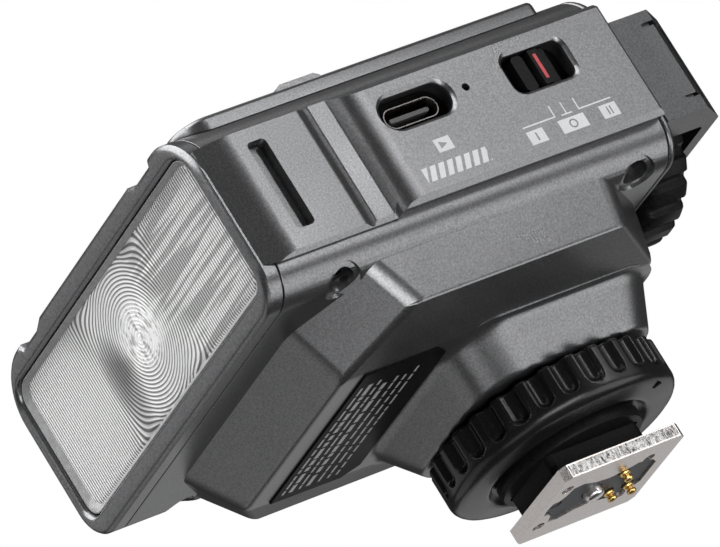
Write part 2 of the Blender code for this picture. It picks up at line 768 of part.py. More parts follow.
def make_electronics():
    block("main_board", (26.1 * MM, -27 * MM, 37 * MM), (27.3 * MM, 7.5 * MM, 53 * MM), BOARD)
    capacitor = rod(
        "main_capacitor", "X", (-25.5 * MM, 45.2 * MM), -20 * MM, 20 * MM, 7.6 * MM, SLEEVE,
        steps=32,
    )
    smooth(capacitor)
    pack = block("battery_pack", (-25 * MM, -15 * MM, 38 * MM), (24 * MM, 11 * MM, 54 * MM), BLACK)
    bevel(pack, 1.5 * MM, 3)
    block("trigger_coil", (-22 * MM, -32 * MM, 25 * MM), (-12 * MM, -22 * MM, 32 * MM), STEEL)
    block("shoe_board", (-12 * MM, -14 * MM, 22 * MM), (12 * MM, 8 * MM, 23.2 * MM), BOARD)


# ---------------------------------------------------------------- label


def make_label():
    outline = mirrored(
        [(17.5 * MM, -35.2 * MM), (17.7 * MM, -23.0 * MM), (15.4 * MM, -20.6 * MM)]
    )
    plate("rating_label", outline, "XY", HULL_LOW - 0.35 * MM, HULL_LOW - 0.15 * MM, LABEL)


# ---------------------------------------------------------------- lock ring and foot


def make_lock_ring():
    """The knurled ring: grooves with a smooth lower band, a dished underside and a stepped bore."""
    rim = RING_RADIUS
    profile = [
        (9.9 * MM, RING_TOP, 0),
        (rim - 0.9 * MM, RING_TOP, 0.6),
        (rim - 0.1 * MM, RING_TOP - 0.7 * MM, 1),
        (rim, 10.0 * MM, 1),
        (rim, 9.3 * MM, 0),
        (rim, 8.4 * MM, 0),
        (rim - 0.9 * MM, 7.0 * MM, 0),
        (rim - 2.0 * MM, 6.6 * MM, 0),
        (12.6 * MM, 6.3 * MM, 0),
        (12.2 * MM, 6.6 * MM, 0),
        (11.3 * MM, 7.6 * MM, 0),
        (9.9 * MM, 7.6 * MM, 0),
    ]
    ring = turned("lock_ring", profile, RING_GROOVES * 4, BLACK, 0.9 * MM, RING_GROOVES)
    ring.data.transform(Matrix.Translation((0, POST_Y, 0)))
    hang_from(ring, "lock_ring_axis", (0, POST_Y, 0))


def post_section(grow):
    return rounded(
        POST_HALF_X + grow, POST_Y - POST_HALF_Y - grow, POST_Y + POST_HALF_Y + grow, 1.1 * MM + grow,
        steps=4,
    )


def make_clamp_plate():
    """The disc under the ring that comes down on the camera's shoe rails."""
    circle = []
    steps = 48
    for step in range(steps):
        angle = 2 * math.pi * step / steps
        circle.append((CLAMP_RADIUS * math.cos(angle), POST_Y + CLAMP_RADIUS * math.sin(angle)))
    low = 5.1 * MM
    plate("clamp_plate", circle, "XY", low, 7.2 * MM, BLACK, holes=[post_section(0.25 * MM)])


def make_post():
    post = plate("shoe_post", post_section(0.0), "XY", FOOT_THICK + GAP, 17.5 * MM, BLACK)
    flange = rounded(9.5 * MM, POST_Y - 10.0 * MM, POST_Y + 10.0 * MM, 2 * MM)
    join(post, plate("post_flange", flange, "XY", 16.9 * MM, 18.6 * MM, cutter=True))
    for name, (x, y) in FOOT_SCREW_PLACES.items():
        cut(post, rod("foot_hole_" + name, "Z", (x, y), 0, 6.5 * MM, 0.65 * MM, steps=12,
                      cutter=True))
    cut(post, rod("lock_pin_channel", "Z", (0, -7.6 * MM), 0, 12 * MM, 1.0 * MM, steps=16,
                  cutter=True))


def insulator_outline(grow):
    half = [
        (1.6 * MM + grow * 0.4, -9.3 * MM - grow),
        (3.2 * MM + grow * 0.8, -8.2 * MM - grow * 0.6),
        (3.5 * MM + grow, -6.0 * MM - grow * 0.2),
        (4.2 * MM + grow, -4.6 * MM),
        (4.2 * MM + grow, 3.6 * MM),
        (3.4 * MM + grow, 4.8 * MM),
        (3.4 * MM + grow, 7.0 * MM + grow * 0.5),
        (2.4 * MM + grow * 0.5, 8.0 * MM + grow),
    ]
    return mirrored(half)


def make_foot():
    clip = 0.9 * MM
    half = FOOT_HALF
    end = FOOT_HALF_LENGTH
    outline = mirrored([(half - clip, -end), (half, -end + clip), (half, end - clip),
                        (half - clip, end)])
    opening = insulator_outline(0.2 * MM)
    foot = plate("foot_plate", outline, "XY", 0.0, FOOT_THICK, NICKEL, holes=[opening])
    for name, (x, y) in FOOT_SCREW_PLACES.items():
        cut(foot, rod("foot_cup_" + name, "Z", (x, y), -MM, 1.1 * MM, 1.0 * MM, steps=16,
                      cutter=True))
        cut(foot, rod("foot_through_" + name, "Z", (x, y), 0.5 * MM, 3 * MM, 0.65 * MM, steps=12,
                      cutter=True))
        screw = rod("foot_screw_" + name, "Z", (x, y), 0.3 * MM, 0.9 * MM, 0.8 * MM, STEEL,
                    steps=16)
        join(screw, rod("foot_shank_" + name, "Z", (x, y), 0.6 * MM, 6.0 * MM, 0.45 * MM,
                        steps=12, cutter=True))


def make_contacts():
    """The insulating insert with its spring-loaded centre contact and side pins."""
    insert = plate(
        "contact_insulator", insulator_outline(0.0), "XY", 0.35 * MM, FOOT_THICK, BLACK
    )
    centre = (0, POST_Y)
    contact = rod("centre_contact", "Z", centre, -0.45 * MM, 1.2 * MM, 1.5 * MM, NICKEL, steps=32)
    join(contact, rod("contact_dome", "Z", centre, -0.95 * MM, -0.3 * MM, 0.7 * MM, steps=32,
                      cutter=True, end_radius=1.5 * MM))
    hang_from(contact, "centre_contact_axis", (0, POST_Y, 0))
    cut(insert, rod("centre_hole", "Z", centre, -MM, 3 * MM, 1.65 * MM, steps=32, cutter=True))
    for number, (x, y) in enumerate(PIN_PLACES, start=1):
        pin = rod(f"contact_pin_{number}", "Z", (x, y), -0.6 * MM, 1.2 * MM, 0.55 * MM, GOLD,
                  steps=16)
        join(pin, rod(f"pin_tip_{number}", "Z", (x, y), -0.95 * MM, -0.55 * MM, 0.3 * MM,
                      steps=16, cutter=True, end_radius=0.55 * MM))
        hang_from(pin, f"contact_pin_{number}_axis", (x, y, 0))
        cut(insert, rod(f"pin_hole_{number}", "Z", (x, y), -MM, 3 * MM, 0.7 * MM, steps=16,
                        cutter=True))
    pin = rod("lock_pin", "Z", (0, -7.6 * MM), 0.4 * MM, 9 * MM, 0.8 * MM, STEEL, steps=16)
    hang_from(pin, "lock_pin_axis", (0, -7.6 * MM, 0))
    cut(insert, rod("lock_pin_hole", "Z", (0, -7.6 * MM), -MM, 3 * MM, 0.95 * MM, steps=16,
                    cutter=True))


make_bezel()
make_window_parts()
make_shells()
make_rear_cover()
make_top_cover()
make_side_cover_right()
make_side_cover_left()
make_usb_socket()
make_charge_led()
make_mode_switch()
make_rear_housing()
make_test_button()
make_side_window()
make_display()
make_dial()
make_electronics()
make_label()
make_lock_ring()
make_clamp_plate()
make_post()
make_foot()
make_contacts()
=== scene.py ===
"""Looks for the speedlight flash: detailed pieces, materials, light and camera round the frame.

Axes are the frame's own: +Z is up, the flash window faces -Y, and the control side with the
socket and the switch faces +X. Shapes are drawn in millimetres, and piece() scales them to the
frame's metres.
"""

import math

import bmesh
import bpy
import numpy as np
from mathutils import Matrix, Vector


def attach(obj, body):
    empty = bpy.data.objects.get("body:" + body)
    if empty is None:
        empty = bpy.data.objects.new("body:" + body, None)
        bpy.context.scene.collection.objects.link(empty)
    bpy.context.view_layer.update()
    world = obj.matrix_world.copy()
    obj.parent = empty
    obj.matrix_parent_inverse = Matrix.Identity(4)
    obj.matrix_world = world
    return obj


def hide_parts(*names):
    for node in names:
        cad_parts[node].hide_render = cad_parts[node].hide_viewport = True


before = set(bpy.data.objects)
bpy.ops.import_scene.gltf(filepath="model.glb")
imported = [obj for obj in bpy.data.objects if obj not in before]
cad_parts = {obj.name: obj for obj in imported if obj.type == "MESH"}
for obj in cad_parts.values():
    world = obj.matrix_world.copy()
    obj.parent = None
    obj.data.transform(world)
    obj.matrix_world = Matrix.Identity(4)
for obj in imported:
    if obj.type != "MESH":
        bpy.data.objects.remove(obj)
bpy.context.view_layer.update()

MM = 0.001

# Head casing and bezel.
HEAD_HALF = 33.7
HEAD_LOW = 29.2
HEAD_TOP = 57.4
LOW_RADIUS = 5.4
TOP_RADIUS = 8.1
WINDOW_HALF = 31.7
WINDOW_LOW = 32.3
WINDOW_TOP = 54.2
LENS_MIDDLE = 43.3
RIDGE_PITCH = 0.56
RINGS_END = 6.0
RIBS_START = 15.0
CASING_FRONT = -49.28
CASING_REAR = 16.2
PAD_DEPTH = 0.5

# Side covers and the controls on the +X panel.
STEP_X = 35.0
PANEL_X = 37.3
COVER_LOW = 33.9
COVER_TOP = 52.6
USB_Y = -19.2
USB_Z = 46.8
LED_Y = -10.9
SWITCH_Y = 1.3
SWITCH_Z = 46.2
SLOT_Y = -42.8

# Foot, post, clamp and ring.
POST_Y = -1.3
RING_RADIUS = 17.6
RING_FLUTES = 28
PIN_PLACES = ((-2.8, 2.9), (2.8, 2.9), (-2.8, 6.3))
LOCK_PIN_PLACE = (0.0, -7.6)
SCREW_PLACES = ((29.8, -39.2), (-29.8, -39.2), (29.5, 11.0), (-29.5, 11.0))

# Rear housing and dial.
DIAL_X = 12.4
DIAL_Z = 41.9
DIAL_RADIUS = 15.4
DIAL_FRONT = 18.1
DIAL_RIBS = 24
BUTTON_PLACE = (12.4, 42.0)

# ---------------------------------------------------------------- materials


class Nodes:
    """A material's node tree, with short ways to add and link nodes."""

    def __init__(self, name):
        self.material = bpy.data.materials.new(name)
        self.material.use_nodes = True
        self.tree = self.material.node_tree
        self.shader = self.tree.nodes["Principled BSDF"]
        coords = self.tree.nodes.new("ShaderNodeTexCoord")
        self.place = coords.outputs["Object"]

    def add(self, kind, **values):
        """Adds a node; a value goes to the node's property or else to the input of that name."""
        node = self.tree.nodes.new("ShaderNode" + kind)
        for key, value in values.items():
            if hasattr(node, key):
                setattr(node, key, value)
            else:
                node.inputs[key.replace("_", " ").title()].default_value = value
        return node

    def link(self, source, target):
        self.tree.links.new(source, target)

    def noise(self, scale, detail=2.0, rough=0.5, stretch=None):
        """Noise fixed to the object; stretch scales the place along each axis first."""
        node = self.add("TexNoise", scale=scale, detail=detail, roughness=rough)
        place = self.place
        if stretch:
            mapping = self.add("Mapping")
            mapping.inputs["Scale"].default_value = stretch
            self.link(place, mapping.inputs["Vector"])
            place = mapping.outputs["Vector"]
        self.link(place, node.inputs["Vector"])
        return node.outputs["Fac"]

    def spread(self, source, low, high, start=0.3, end=0.7, curve="LINEAR"):
        """Maps start..end to low..high and holds it there beyond them."""
        node = self.add("MapRange", interpolation_type=curve)
        node.inputs["From Min"].default_value = start
        node.inputs["From Max"].default_value = end
        node.inputs["To Min"].default_value = low
        node.inputs["To Max"].default_value = high
        self.link(source, node.inputs["Value"])
        return node.outputs["Result"]

    def blend(self, factor, first, second):
        """A colour between two others."""
        node = self.add("Mix", data_type="RGBA")
        sockets = [item for item in node.inputs if item.type == "RGBA"]
        sockets[0].default_value = (*first, 1)
        sockets[1].default_value = (*second, 1)
        self.link(factor, node.inputs[0])
        return [item for item in node.outputs if item.type == "RGBA"][0]

    def bump(self, source, strength, distance, after=None):
        """A surface normal from heights, on top of another one if it is given."""
        node = self.add("Bump")
        node.inputs["Strength"].default_value = strength
        node.inputs["Distance"].default_value = distance
        self.link(source, node.inputs["Height"])
        if after is not None:
            self.link(after, node.inputs["Normal"])
        return node.outputs["Normal"]

    def settle(self, **values):
        """Sets the shader's own sockets, each to a constant or to another node's output."""
        for key, value in values.items():
            socket = self.shader.inputs[key.replace("_", " ")]
            if isinstance(value, bpy.types.NodeSocket):
                self.link(value, socket)
            else:
                socket.default_value = value


def grained(name, dark, light, roughness, metallic, grain, strength, specular=0.5, ior=1.5):
    """Paint or plastic with a fine grain in colour, roughness and height."""
    nodes = Nodes(name)
    fine = nodes.noise(grain, 2.0, 0.5)
    broad = nodes.noise(90.0, 3.0)
    nodes.settle(
        Base_Color=nodes.blend(nodes.spread(fine, 0.0, 1.0), dark, light),
        Roughness=nodes.spread(broad, *roughness),
        Normal=nodes.bump(fine, strength, 0.00004),
        Metallic=metallic,
        Specular_IOR_Level=specular,
        IOR=ior,
    )
    return nodes.material


def paint(name, dark, light):
    """Satin metallic paint over plastic."""
    return grained(name, dark, light, (0.27, 0.31), 0.88, 3600, 0.20)


PAINT = paint("graphite_paint", (0.155, 0.156, 0.160), (0.250, 0.251, 0.257))
HOUSING = paint("housing_paint", (0.070, 0.071, 0.073), (0.125, 0.126, 0.130))
# A darker copy of the paint, as painted shade on the floor of the front slot.
SHADED_RECESS = paint("recess_shade_paint", (0.112, 0.113, 0.116), (0.185, 0.186, 0.191))
BLACK_TONES = ((0.006, 0.006, 0.007), (0.014, 0.014, 0.015))
BLACK = grained("black_plastic", *BLACK_TONES, (0.32, 0.44), 0.0, 2600, 0.10, 0.35, 1.25)
SATIN_BLACK = grained(
    "ring_plastic", (0.007, 0.007, 0.008), (0.014, 0.014, 0.015), (0.22, 0.30), 0.0, 3000, 0.12
)
INSERT = grained(
    "insert_plastic", (0.045, 0.048, 0.052), (0.065, 0.068, 0.073), (0.45, 0.55), 0.0, 2600, 0.10
)
DARK = grained(
    "deep_black", (0.002, 0.002, 0.002), (0.004, 0.004, 0.004), (0.6, 0.7), 0.0, 2000, 0.05, 0.15
)
PRINT = grained(
    "printed_white", (0.62, 0.62, 0.63), (0.70, 0.70, 0.71), (0.36, 0.42), 0.3, 3000, 0.05
)
RED = grained("red_line", (0.50, 0.045, 0.055), (0.62, 0.075, 0.085), (0.35, 0.45), 0.0, 2600, 0.08)
LABEL_TONES = ((0.004, 0.004, 0.004), (0.008, 0.008, 0.008))
LABEL = grained("black_label", *LABEL_TONES, (0.3, 0.4), 0.0, 1200, 0.04, 0.3, 1.12)
LABEL_PRINT = grained(
    "label_print", (0.42, 0.42, 0.42), (0.52, 0.52, 0.52), (0.4, 0.5), 0.3, 2500, 0.05
)
RUBBER = grained(
    "holder_rubber", (0.30, 0.30, 0.29), (0.42, 0.42, 0.41), (0.65, 0.75), 0.0, 1800, 0.2
)
BOARD = grained("board_mask", (0.015, 0.085, 0.045), (0.03, 0.14, 0.07), (0.35, 0.5), 0.0, 900, 0.2)
SLEEVE = grained(
    "capacitor_sleeve", (0.03, 0.06, 0.22), (0.05, 0.09, 0.30), (0.3, 0.4), 0.0, 700, 0.1
)


def metal(name, dark, light, roughness, stretch, strength):
    """A metal with drawn or machined lines along the direction where stretch is smallest."""
    nodes = Nodes(name)
    lines = nodes.noise(420.0, 4.0, 0.65, stretch)
    spots = nodes.noise(1500.0, 2.0)
    nodes.settle(
        Base_Color=nodes.blend(nodes.spread(lines, 0.0, 1.0, 0.35, 0.65), dark, light),
        Roughness=nodes.spread(lines, *roughness),
        Normal=nodes.bump(spots, strength * 0.5, 0.00003, nodes.bump(lines, strength, 0.00008)),
        Metallic=1.0,
    )
    return nodes.material


NICKEL = metal("nickel", (0.74, 0.69, 0.67), (0.88, 0.83, 0.81), (0.24, 0.36), (6, 1, 6), 0.08)
CHOPPED = metal(
    "chopped_edge", (0.10, 0.095, 0.09), (0.88, 0.86, 0.85), (0.20, 0.45), (1, 5, 1.6), 1.0
)
BRIGHT = metal(
    "bright_contact", (0.86, 0.84, 0.83), (0.96, 0.94, 0.93), (0.26, 0.34), (1, 1, 1), 0.2
)
GOLD = metal("gold_plate", (0.92, 0.58, 0.18), (1.0, 0.74, 0.32), (0.22, 0.32), (2, 2, 1), 0.12)
STEEL = metal("black_steel", (0.05, 0.05, 0.052), (0.10, 0.10, 0.105), (0.3, 0.45), (1, 1, 4), 0.2)
SOCKET = metal("socket_steel", (0.12, 0.11, 0.11), (0.20, 0.19, 0.18), (0.22, 0.34), (1, 4, 1), 0.1)
TONGUE = grained(
    "tongue_plastic", (0.10, 0.10, 0.10), (0.16, 0.16, 0.16), (0.35, 0.45), 0.0, 2600, 0.10
)
FOIL = metal("reflector_foil", (0.88, 0.88, 0.89), (0.95, 0.95, 0.96), (0.24, 0.34), (1, 5, 5), 0.3)


def clear(name, colour, roughness, ior):
    """Clear glass with faint waviness."""
    nodes = Nodes(name)
    wave = nodes.noise(260.0, 2.0)
    nodes.settle(Normal=nodes.bump(wave, 0.06, 0.0002), Roughness=nodes.spread(wave, *roughness))
    nodes.settle(Base_Color=(*colour, 1), IOR=ior, Transmission_Weight=1.0)
    return nodes.material


def ridged_lens():
    """Plastic with moulded ridges whose base colour is painted light and shade, in step with
    lens_height: painted shade along the ridges' crests, painted light on their flanks, and painted
    glows, streaks and a shade patch for the reflector's light.
    """
    nodes = Nodes("clear_lens")
    split = nodes.add("SeparateXYZ")
    nodes.link(nodes.place, split.inputs[0])

    def sum_of(operation, *values):
        """A Math node's result from numbers and other nodes' results."""
        node = nodes.add("Math", operation=operation)
        for socket, value in zip(node.inputs, values):
            if isinstance(value, float):
                socket.default_value = value
            else:
                nodes.link(value, socket)
        return node.outputs[0]

    def glow(x, z, wide, tall):
        """A soft oval mask for painted light and shade about a place on the window: 1 inside, 0
        outside.
        """
        u = sum_of("MULTIPLY_ADD", split.outputs["X"], 1 / (wide * MM), -x / wide)
        v = sum_of("MULTIPLY_ADD", split.outputs["Z"], 1 / (tall * MM), -z / tall)
        reach = sum_of("MULTIPLY_ADD", u, u, sum_of("MULTIPLY", v, v))
        return nodes.spread(reach, 1.0, 0.0, 0.0, 1.0)

    across = sum_of("ABSOLUTE", split.outputs["X"])
    up = sum_of("SUBTRACT", split.outputs["Z"], LENS_MIDDLE * MM)
    square = sum_of("MULTIPLY", across, across)
    radius = sum_of("SQRT", sum_of("MULTIPLY_ADD", up, up, square))
    share = nodes.spread(across, 1.0, 0.0, RINGS_END * MM, RIBS_START * MM, "SMOOTHSTEP")
    path = sum_of("MULTIPLY_ADD", sum_of("SUBTRACT", radius, across), share, across)
    phase = sum_of("FRACT", sum_of("DIVIDE", path, RIDGE_PITCH * MM))
    flank = sum_of("ABSOLUTE", sum_of("SUBTRACT", phase, 0.5))
    # Painted shade along each ridge's crest and painted light on its flanks.
    line = nodes.spread(flank, 0.0, 1.0, 0.16, 0.32)
    # Painted reflection: a cloudy smear of the reflector's light in the middle of the window.
    painted_smear = nodes.spread(nodes.noise(1100.0, 2.0, 0.6, (1.0, 1.0, 0.45)), 0.1, 1.0, 0.38, 0.60)
    middle = glow(0.8, 43.4, 6.5, 5.0)
    crisp = sum_of("MULTIPLY", line, sum_of("SUBTRACT", 1.0, middle))
    line = sum_of("MULTIPLY_ADD", painted_smear, middle, crisp)
    # Painted highlights: upright streaks and soft glows of the reflector's light.
    painted_streak = nodes.spread(nodes.noise(1000.0, 1.0, 0.5, (0.05, 0.2, 1.0)), 0.0, 0.9, 0.46, 0.56)
    painted_glow = sum_of("MULTIPLY", painted_streak, glow(19.0, 42.0, 19.0, 14.0))
    spots = ((-2.0, 50.2, 10.0, 8.0), (1.5, 37.2, 12.0, 6.0), (1.0, 44.0, 8.0, 6.0))
    for spot in (*spots, (-24.0, 42.0, 17.0, 15.0)):
        painted_glow = sum_of("ADD", painted_glow, glow(*spot))
    # Painted shade: a darker oval left of the middle.
    dark = glow(-8.5, 41.5, 4.5, 7.5)
    # level is the painted light over the window, raised by the glows and lowered by the shade
    # patch.
    level = sum_of("MULTIPLY_ADD", painted_glow, 0.75, 0.6)
    level = sum_of("MULTIPLY", level, sum_of("MULTIPLY_ADD", dark, -0.65, 1.0))
    painted_tone = sum_of("MULTIPLY", sum_of("MULTIPLY_ADD", line, 0.84, 0.16), level)
    nodes.settle(Base_Color=nodes.blend(painted_tone, (0.02, 0.02, 0.021), (1.0, 1.0, 1.0)))
    nodes.settle(Roughness=nodes.spread(line, 0.22, 0.16), IOR=1.49, Transmission_Weight=0.08)
    return nodes.material


LENS = ridged_lens()
LENS_EDGE = grained(
    "lens_edge", (0.30, 0.30, 0.305), (0.38, 0.38, 0.385), (0.22, 0.30), 0.0, 1500, 0.05
)
TUBE = clear("tube_glass", (0.93, 0.95, 0.96), (0.01, 0.03), 1.47)


def smoked(name):
    """Dark glass under a thin gloss coat."""
    nodes = Nodes(name)
    haze = nodes.noise(700.0, 3.0)
    colour = nodes.blend(nodes.spread(haze, 0.0, 1.0), (0.012, 0.012, 0.014), (0.02, 0.02, 0.023))
    nodes.settle(Base_Color=colour, Roughness=nodes.spread(haze, 0.05, 0.10))
    nodes.settle(Normal=nodes.bump(haze, 0.02, 0.0001), Coat_Weight=0.6, Coat_Roughness=0.03)
    return nodes.material


SMOKED = smoked("smoked_glass")

# ---------------------------------------------------------------- mesh helpers

PLANES = {
    "XY": Matrix(((1, 0, 0), (0, 1, 0), (0, 0, 1))),
    "XZ": Matrix(((1, 0, 0), (0, 0, -1), (0, 1, 0))),
    "YZ": Matrix(((0, 0, 1), (1, 0, 0), (0, 1, 0))),
}


def rounded(half_u, low_v, high_v, radius, steps=6, center_u=0.0, top_radius=None, extra=()):
    """A rounded rectangle's outline, anticlockwise; extra holds more u places along its top."""
    top = radius if top_radius is None else top_radius
    corners = (
        (1, low_v + radius, radius, -90), (1, high_v - top, top, 0), (-1, high_v - top, top, 90),
        (-1, low_v + radius, radius, 180),
    )
    points = []
    for number, (side, v, r, start) in enumerate(corners):
        u = center_u + side * (half_u - r)
        for step in range(steps + 1):
            angle = math.radians(start + 90 * step / steps)
            points.append((u + r * math.cos(angle), v + r * math.sin(angle)))
        if number == 1:
            points += [(place, high_v) for place in extra]
    return points


def circle(radius, steps=48, center=(0.0, 0.0)):
    """A circle's outline, anticlockwise."""
    turns = [2 * math.pi * step / steps for step in range(steps)]
    return [(center[0] + radius * math.cos(t), center[1] + radius * math.sin(t)) for t in turns]


def on_plane(outline, plane, height):
    """Lays a flat outline in its plane at a place along the plane's normal."""
    along = -height if plane == "XZ" else height
    return [PLANES[plane] @ Vector((u, v, along)) for u, v in outline]


def spun(profile, steps, center, plane="XY", base=0.0):
    """Rings of a turned shape, from its (radius, place along the axis) profile."""
    return [on_plane(circle(r, steps, center), plane, base + along) for r, along in profile]


def fluted(profile, flutes, center, plane, base, rim, cut):
    """Rings of a turned shape; cut(phase, height) is the flutes' depth beyond the rim's radius."""
    columns = flutes * 16
    rings = []
    for radius, height in profile:
        points = []
        for column in range(columns):
            angle = 2 * math.pi * column / columns
            phase = (column * flutes / columns) % 1.0 - 0.5
            r = radius - cut(phase, height) if radius > rim else radius
            points.append((center[0] + r * math.cos(angle), center[1] + r * math.sin(angle)))
        rings.append(on_plane(points, plane, base + height))
    return rings


def put(name, data):
    """Adds an object to the scene."""
    item = bpy.data.objects.new(name, data)
    bpy.context.scene.collection.objects.link(item)
    return item


def piece(name, build, finish, nodes=(), body="head"):
    """Makes the object from a bmesh, gives it its finish and lets it ride on a body."""
    bmesh.ops.recalc_face_normals(build, faces=build.faces)
    build.transform(Matrix.Scale(MM, 4))
    mesh = bpy.data.meshes.new(name)
    build.to_mesh(mesh)
    build.free()
    item = put(name, mesh)
    mesh.materials.append(finish)
    if body:
        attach(item, body)
    if nodes:
        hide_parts(*nodes)
    return item


def add_loft(build, rings, closed=False):
    """Joins rings of equal length with quads; a closed loft joins the last ring to the first."""
    rows = [[build.verts.new(point) for point in ring] for ring in rings]
    pairs = list(zip(rows, rows[1:]))
    if closed:
        pairs.append((rows[-1], rows[0]))
    for row, after in pairs:
        for i in range(len(row)):
            j = (i + 1) % len(row)
            build.faces.new((row[i], row[j], after[j], after[i]))
    if not closed:
        build.faces.new(rows[0])
        build.faces.new(rows[-1])


def loft(rings, closed=False):
    """A new mesh with one loft in it."""
    build = bmesh.new()
    add_loft(build, rings, closed)
    return build


def prism(outline, plane, low, high):
    """An outline drawn out along its plane's normal."""
    return loft([on_plane(outline, plane, low), on_plane(outline, plane, high)])


def tool(build):
    """A cutter: a mesh object that isn't linked to any body."""
    return piece("tool", build, DARK, body=None)


def carve(item, *cutters, operation="DIFFERENCE"):
    """Cuts or joins shapes with exact Booleans; a cutter is a bmesh or a tool, and is used up."""
    tools = [tool(one) if isinstance(one, bmesh.types.BMesh) else one for one in cutters]
    for helper in tools:
        modifier = item.modifiers.new("carve", "BOOLEAN")
        modifier.operation = operation
        modifier.object = helper
        modifier.solver = "EXACT"
    settle(item)
    for helper in tools:
        mesh = helper.data
        bpy.data.objects.remove(helper, do_unlink=True)
        bpy.data.meshes.remove(mesh)


def settle(item):
    """Turns a piece's modifiers into its mesh."""
    graph = bpy.context.evaluated_depsgraph_get()
    made = bpy.data.meshes.new_from_object(item.evaluated_get(graph))
    old = item.data
    item.modifiers.clear()
    item.data = made
    bpy.data.meshes.remove(old)


def soften(item, width, segments=3, angle=32):
    """Rounds the sharp edges and shades the piece smooth, with its flat faces kept flat."""
    build = bmesh.new()
    build.from_mesh(item.data)
    bmesh.ops.remove_doubles(build, verts=build.verts, dist=2e-6)
    bmesh.ops.dissolve_limit(
        build, angle_limit=math.radians(1.0), verts=build.verts, edges=build.edges
    )
    build.to_mesh(item.data)
    build.free()
    item.data.shade_smooth()
    modifier = item.modifiers.new("edges", "BEVEL")
    modifier.width = width * MM
    modifier.segments = segments
    modifier.limit_method = "ANGLE"
    modifier.angle_limit = math.radians(angle)
    modifier.miter_outer = "MITER_ARC"
    weigh(item)


def weigh(item):
    """Keeps large flat faces flat in the shading, beside narrow rounded edges."""
    weighted = item.modifiers.new("normals", "WEIGHTED_NORMAL")
    weighted.mode = "FACE_AREA"
    weighted.weight = 60
    weighted.keep_sharp = True
    settle(item)


def smooth(item, angle=40):
    """Shades a piece smooth except across edges sharper than the angle."""
    item.data.shade_smooth()
    item.data.set_sharp_from_angle(angle=math.radians(angle))


# ---------------------------------------------------------------- head


def head_outline(inset, steps=12, extra=()):
    """The head's outline as seen from the front, drawn in by the inset."""
    return rounded(
        HEAD_HALF - inset, HEAD_LOW + inset, HEAD_TOP - inset, LOW_RADIUS - inset, steps,
        top_radius=TOP_RADIUS - inset, extra=extra,
    )


def head_rings(*places):
    """The head's rings from (place along Y, inset) pairs."""
    return [on_plane(head_outline(inset), "XZ", y) for y, inset in places]


def make_casing():
    """The head's casing: its front is hollow for the lamp, and pockets sit behind the controls."""
    front = [(CASING_FRONT + back, inset) for back, inset in ((0, 0.4), (0, 0.12), (0.04, 0.03))]
    rear = [(CASING_REAR - 0.12, 0.05), (CASING_REAR, 0.25), (CASING_REAR, 0.5)]
    rings = head_rings(*front, (CASING_FRONT + 0.14, 0.0), (CASING_REAR - 0.3, 0.0), *rear)
    casing = piece(
        "head_casing", loft(rings), PAINT, ["upper_shell", "lower_shell"]
    )
    lamp_room = prism(rounded(31.6, 31.6, 55.0, 2.0), "XZ", -60, -33.0)
    control_room = prism(rounded(16.5, 41.0, 51.0, 1.0, center_u=-8.5), "YZ", 27.4, 50)
    slot_room = prism(front_slot(), "YZ", 32.9, 50)
    carve(casing, lamp_room, control_room, slot_room)
    core = prism(head_outline(PAD_DEPTH, 16), "XZ", -60, 30)
    for x, y in SCREW_PLACES:
        pad = tool(prism(circle(2.95, 64, (x, y)), "XY", 20, 36))
        carve(pad, core.copy())
        carve(casing, pad, prism(circle(1.95, 48, (x, y)), "XY", 20, 36))
    core.free()
    soften(casing, 0.16, 2, 38)


def hull_points():
    """The hull's corners: its top edge in the casing, its rim, and its flat underside."""
    half = (
        (20.0, -45.1, 31.2), (31.8, -35.9, 31.2), (31.9, 5.6, 31.2), (20.0, 15.9, 31.2),
        (17.4, -39.2, 21.1), (29.5, -30.8, 23.55), (29.5, 5.4, 23.55), (18.6, 14.2, 21.1),
    )
    return [(side * x, y, z) for side in (-1, 1) for x, y, z in half]


def make_hull():
    """The stepped lower casing between the head and the neck."""
    build = bmesh.new()
    for point in hull_points():
        build.verts.new(point)
    result = bmesh.ops.convex_hull(build, input=build.verts)
    loose = [item for item in result["geom_interior"] if isinstance(item, bmesh.types.BMVert)]
    bmesh.ops.delete(build, geom=loose, context="VERTS")
    roundness = build.edges.layers.float.new("bevel_weight_edge")
    for edge in build.edges:
        if edge.calc_face_angle(0.0) > math.radians(8):
            first, second = edge.verts
            edge[roundness] = 1.0 if abs(first.co.z - second.co.z) > 5 else 0.35
    hull = piece("hull_casing", build, PAINT)
    rounding = hull.modifiers.new("edges", "BEVEL")
    rounding.width = 1.9 * MM
    rounding.segments = 6
    rounding.limit_method = "WEIGHT"
    settle(hull)
    holes = [prism(circle(1.95, 48, place), "XY", 20, 36) for place in SCREW_PLACES]
    carve(hull, *holes)
    smooth(hull, 35)
    weigh(hull)


def neck_ring(z, share, grow=0.0):
    """The neck's outline at a height; share runs from 0 at its top to 1 at its foot."""
    half = 18.6 - 3.8 * share + grow
    front = -19.7 + 2.8 * share - grow
    rear = 14.6 - 1.0 * share + grow
    outline = rounded(half, front, rear, 8.4 - 0.6 * share, steps=14, top_radius=7.0)
    return on_plane(outline, "XY", z)


def make_neck():
    """The tapered neck, with a soft fillet to the hull and a rounded foot."""
    levels = [
        (22.2, 0.0, 1.2), (21.25, 0.0, 1.2), (21.1, 0.0, 0.55), (20.85, 0.03, 0.22),
        (20.4, 0.08, 0.05), (19.8, 0.17, 0.0), (15.2, 0.93, 0.0), (14.85, 0.97, -0.08),
        (14.66, 0.99, -0.25), (14.6, 1.0, -0.5),
    ]
    rings = [neck_ring(z, share, grow) for z, share, grow in levels]
    smooth(piece("neck_casing", loft(rings), PAINT), 50)


def notch_depth(x):
    """How far the bezel's top edge drops at x: one notch on each side."""
    places = (0.0, 16.8, 19.1, 24.2, 24.7, 40)
    return float(np.interp(abs(x), places, (0.0, 0.0, 0.85, 0.85, 0.0, 0.0)))


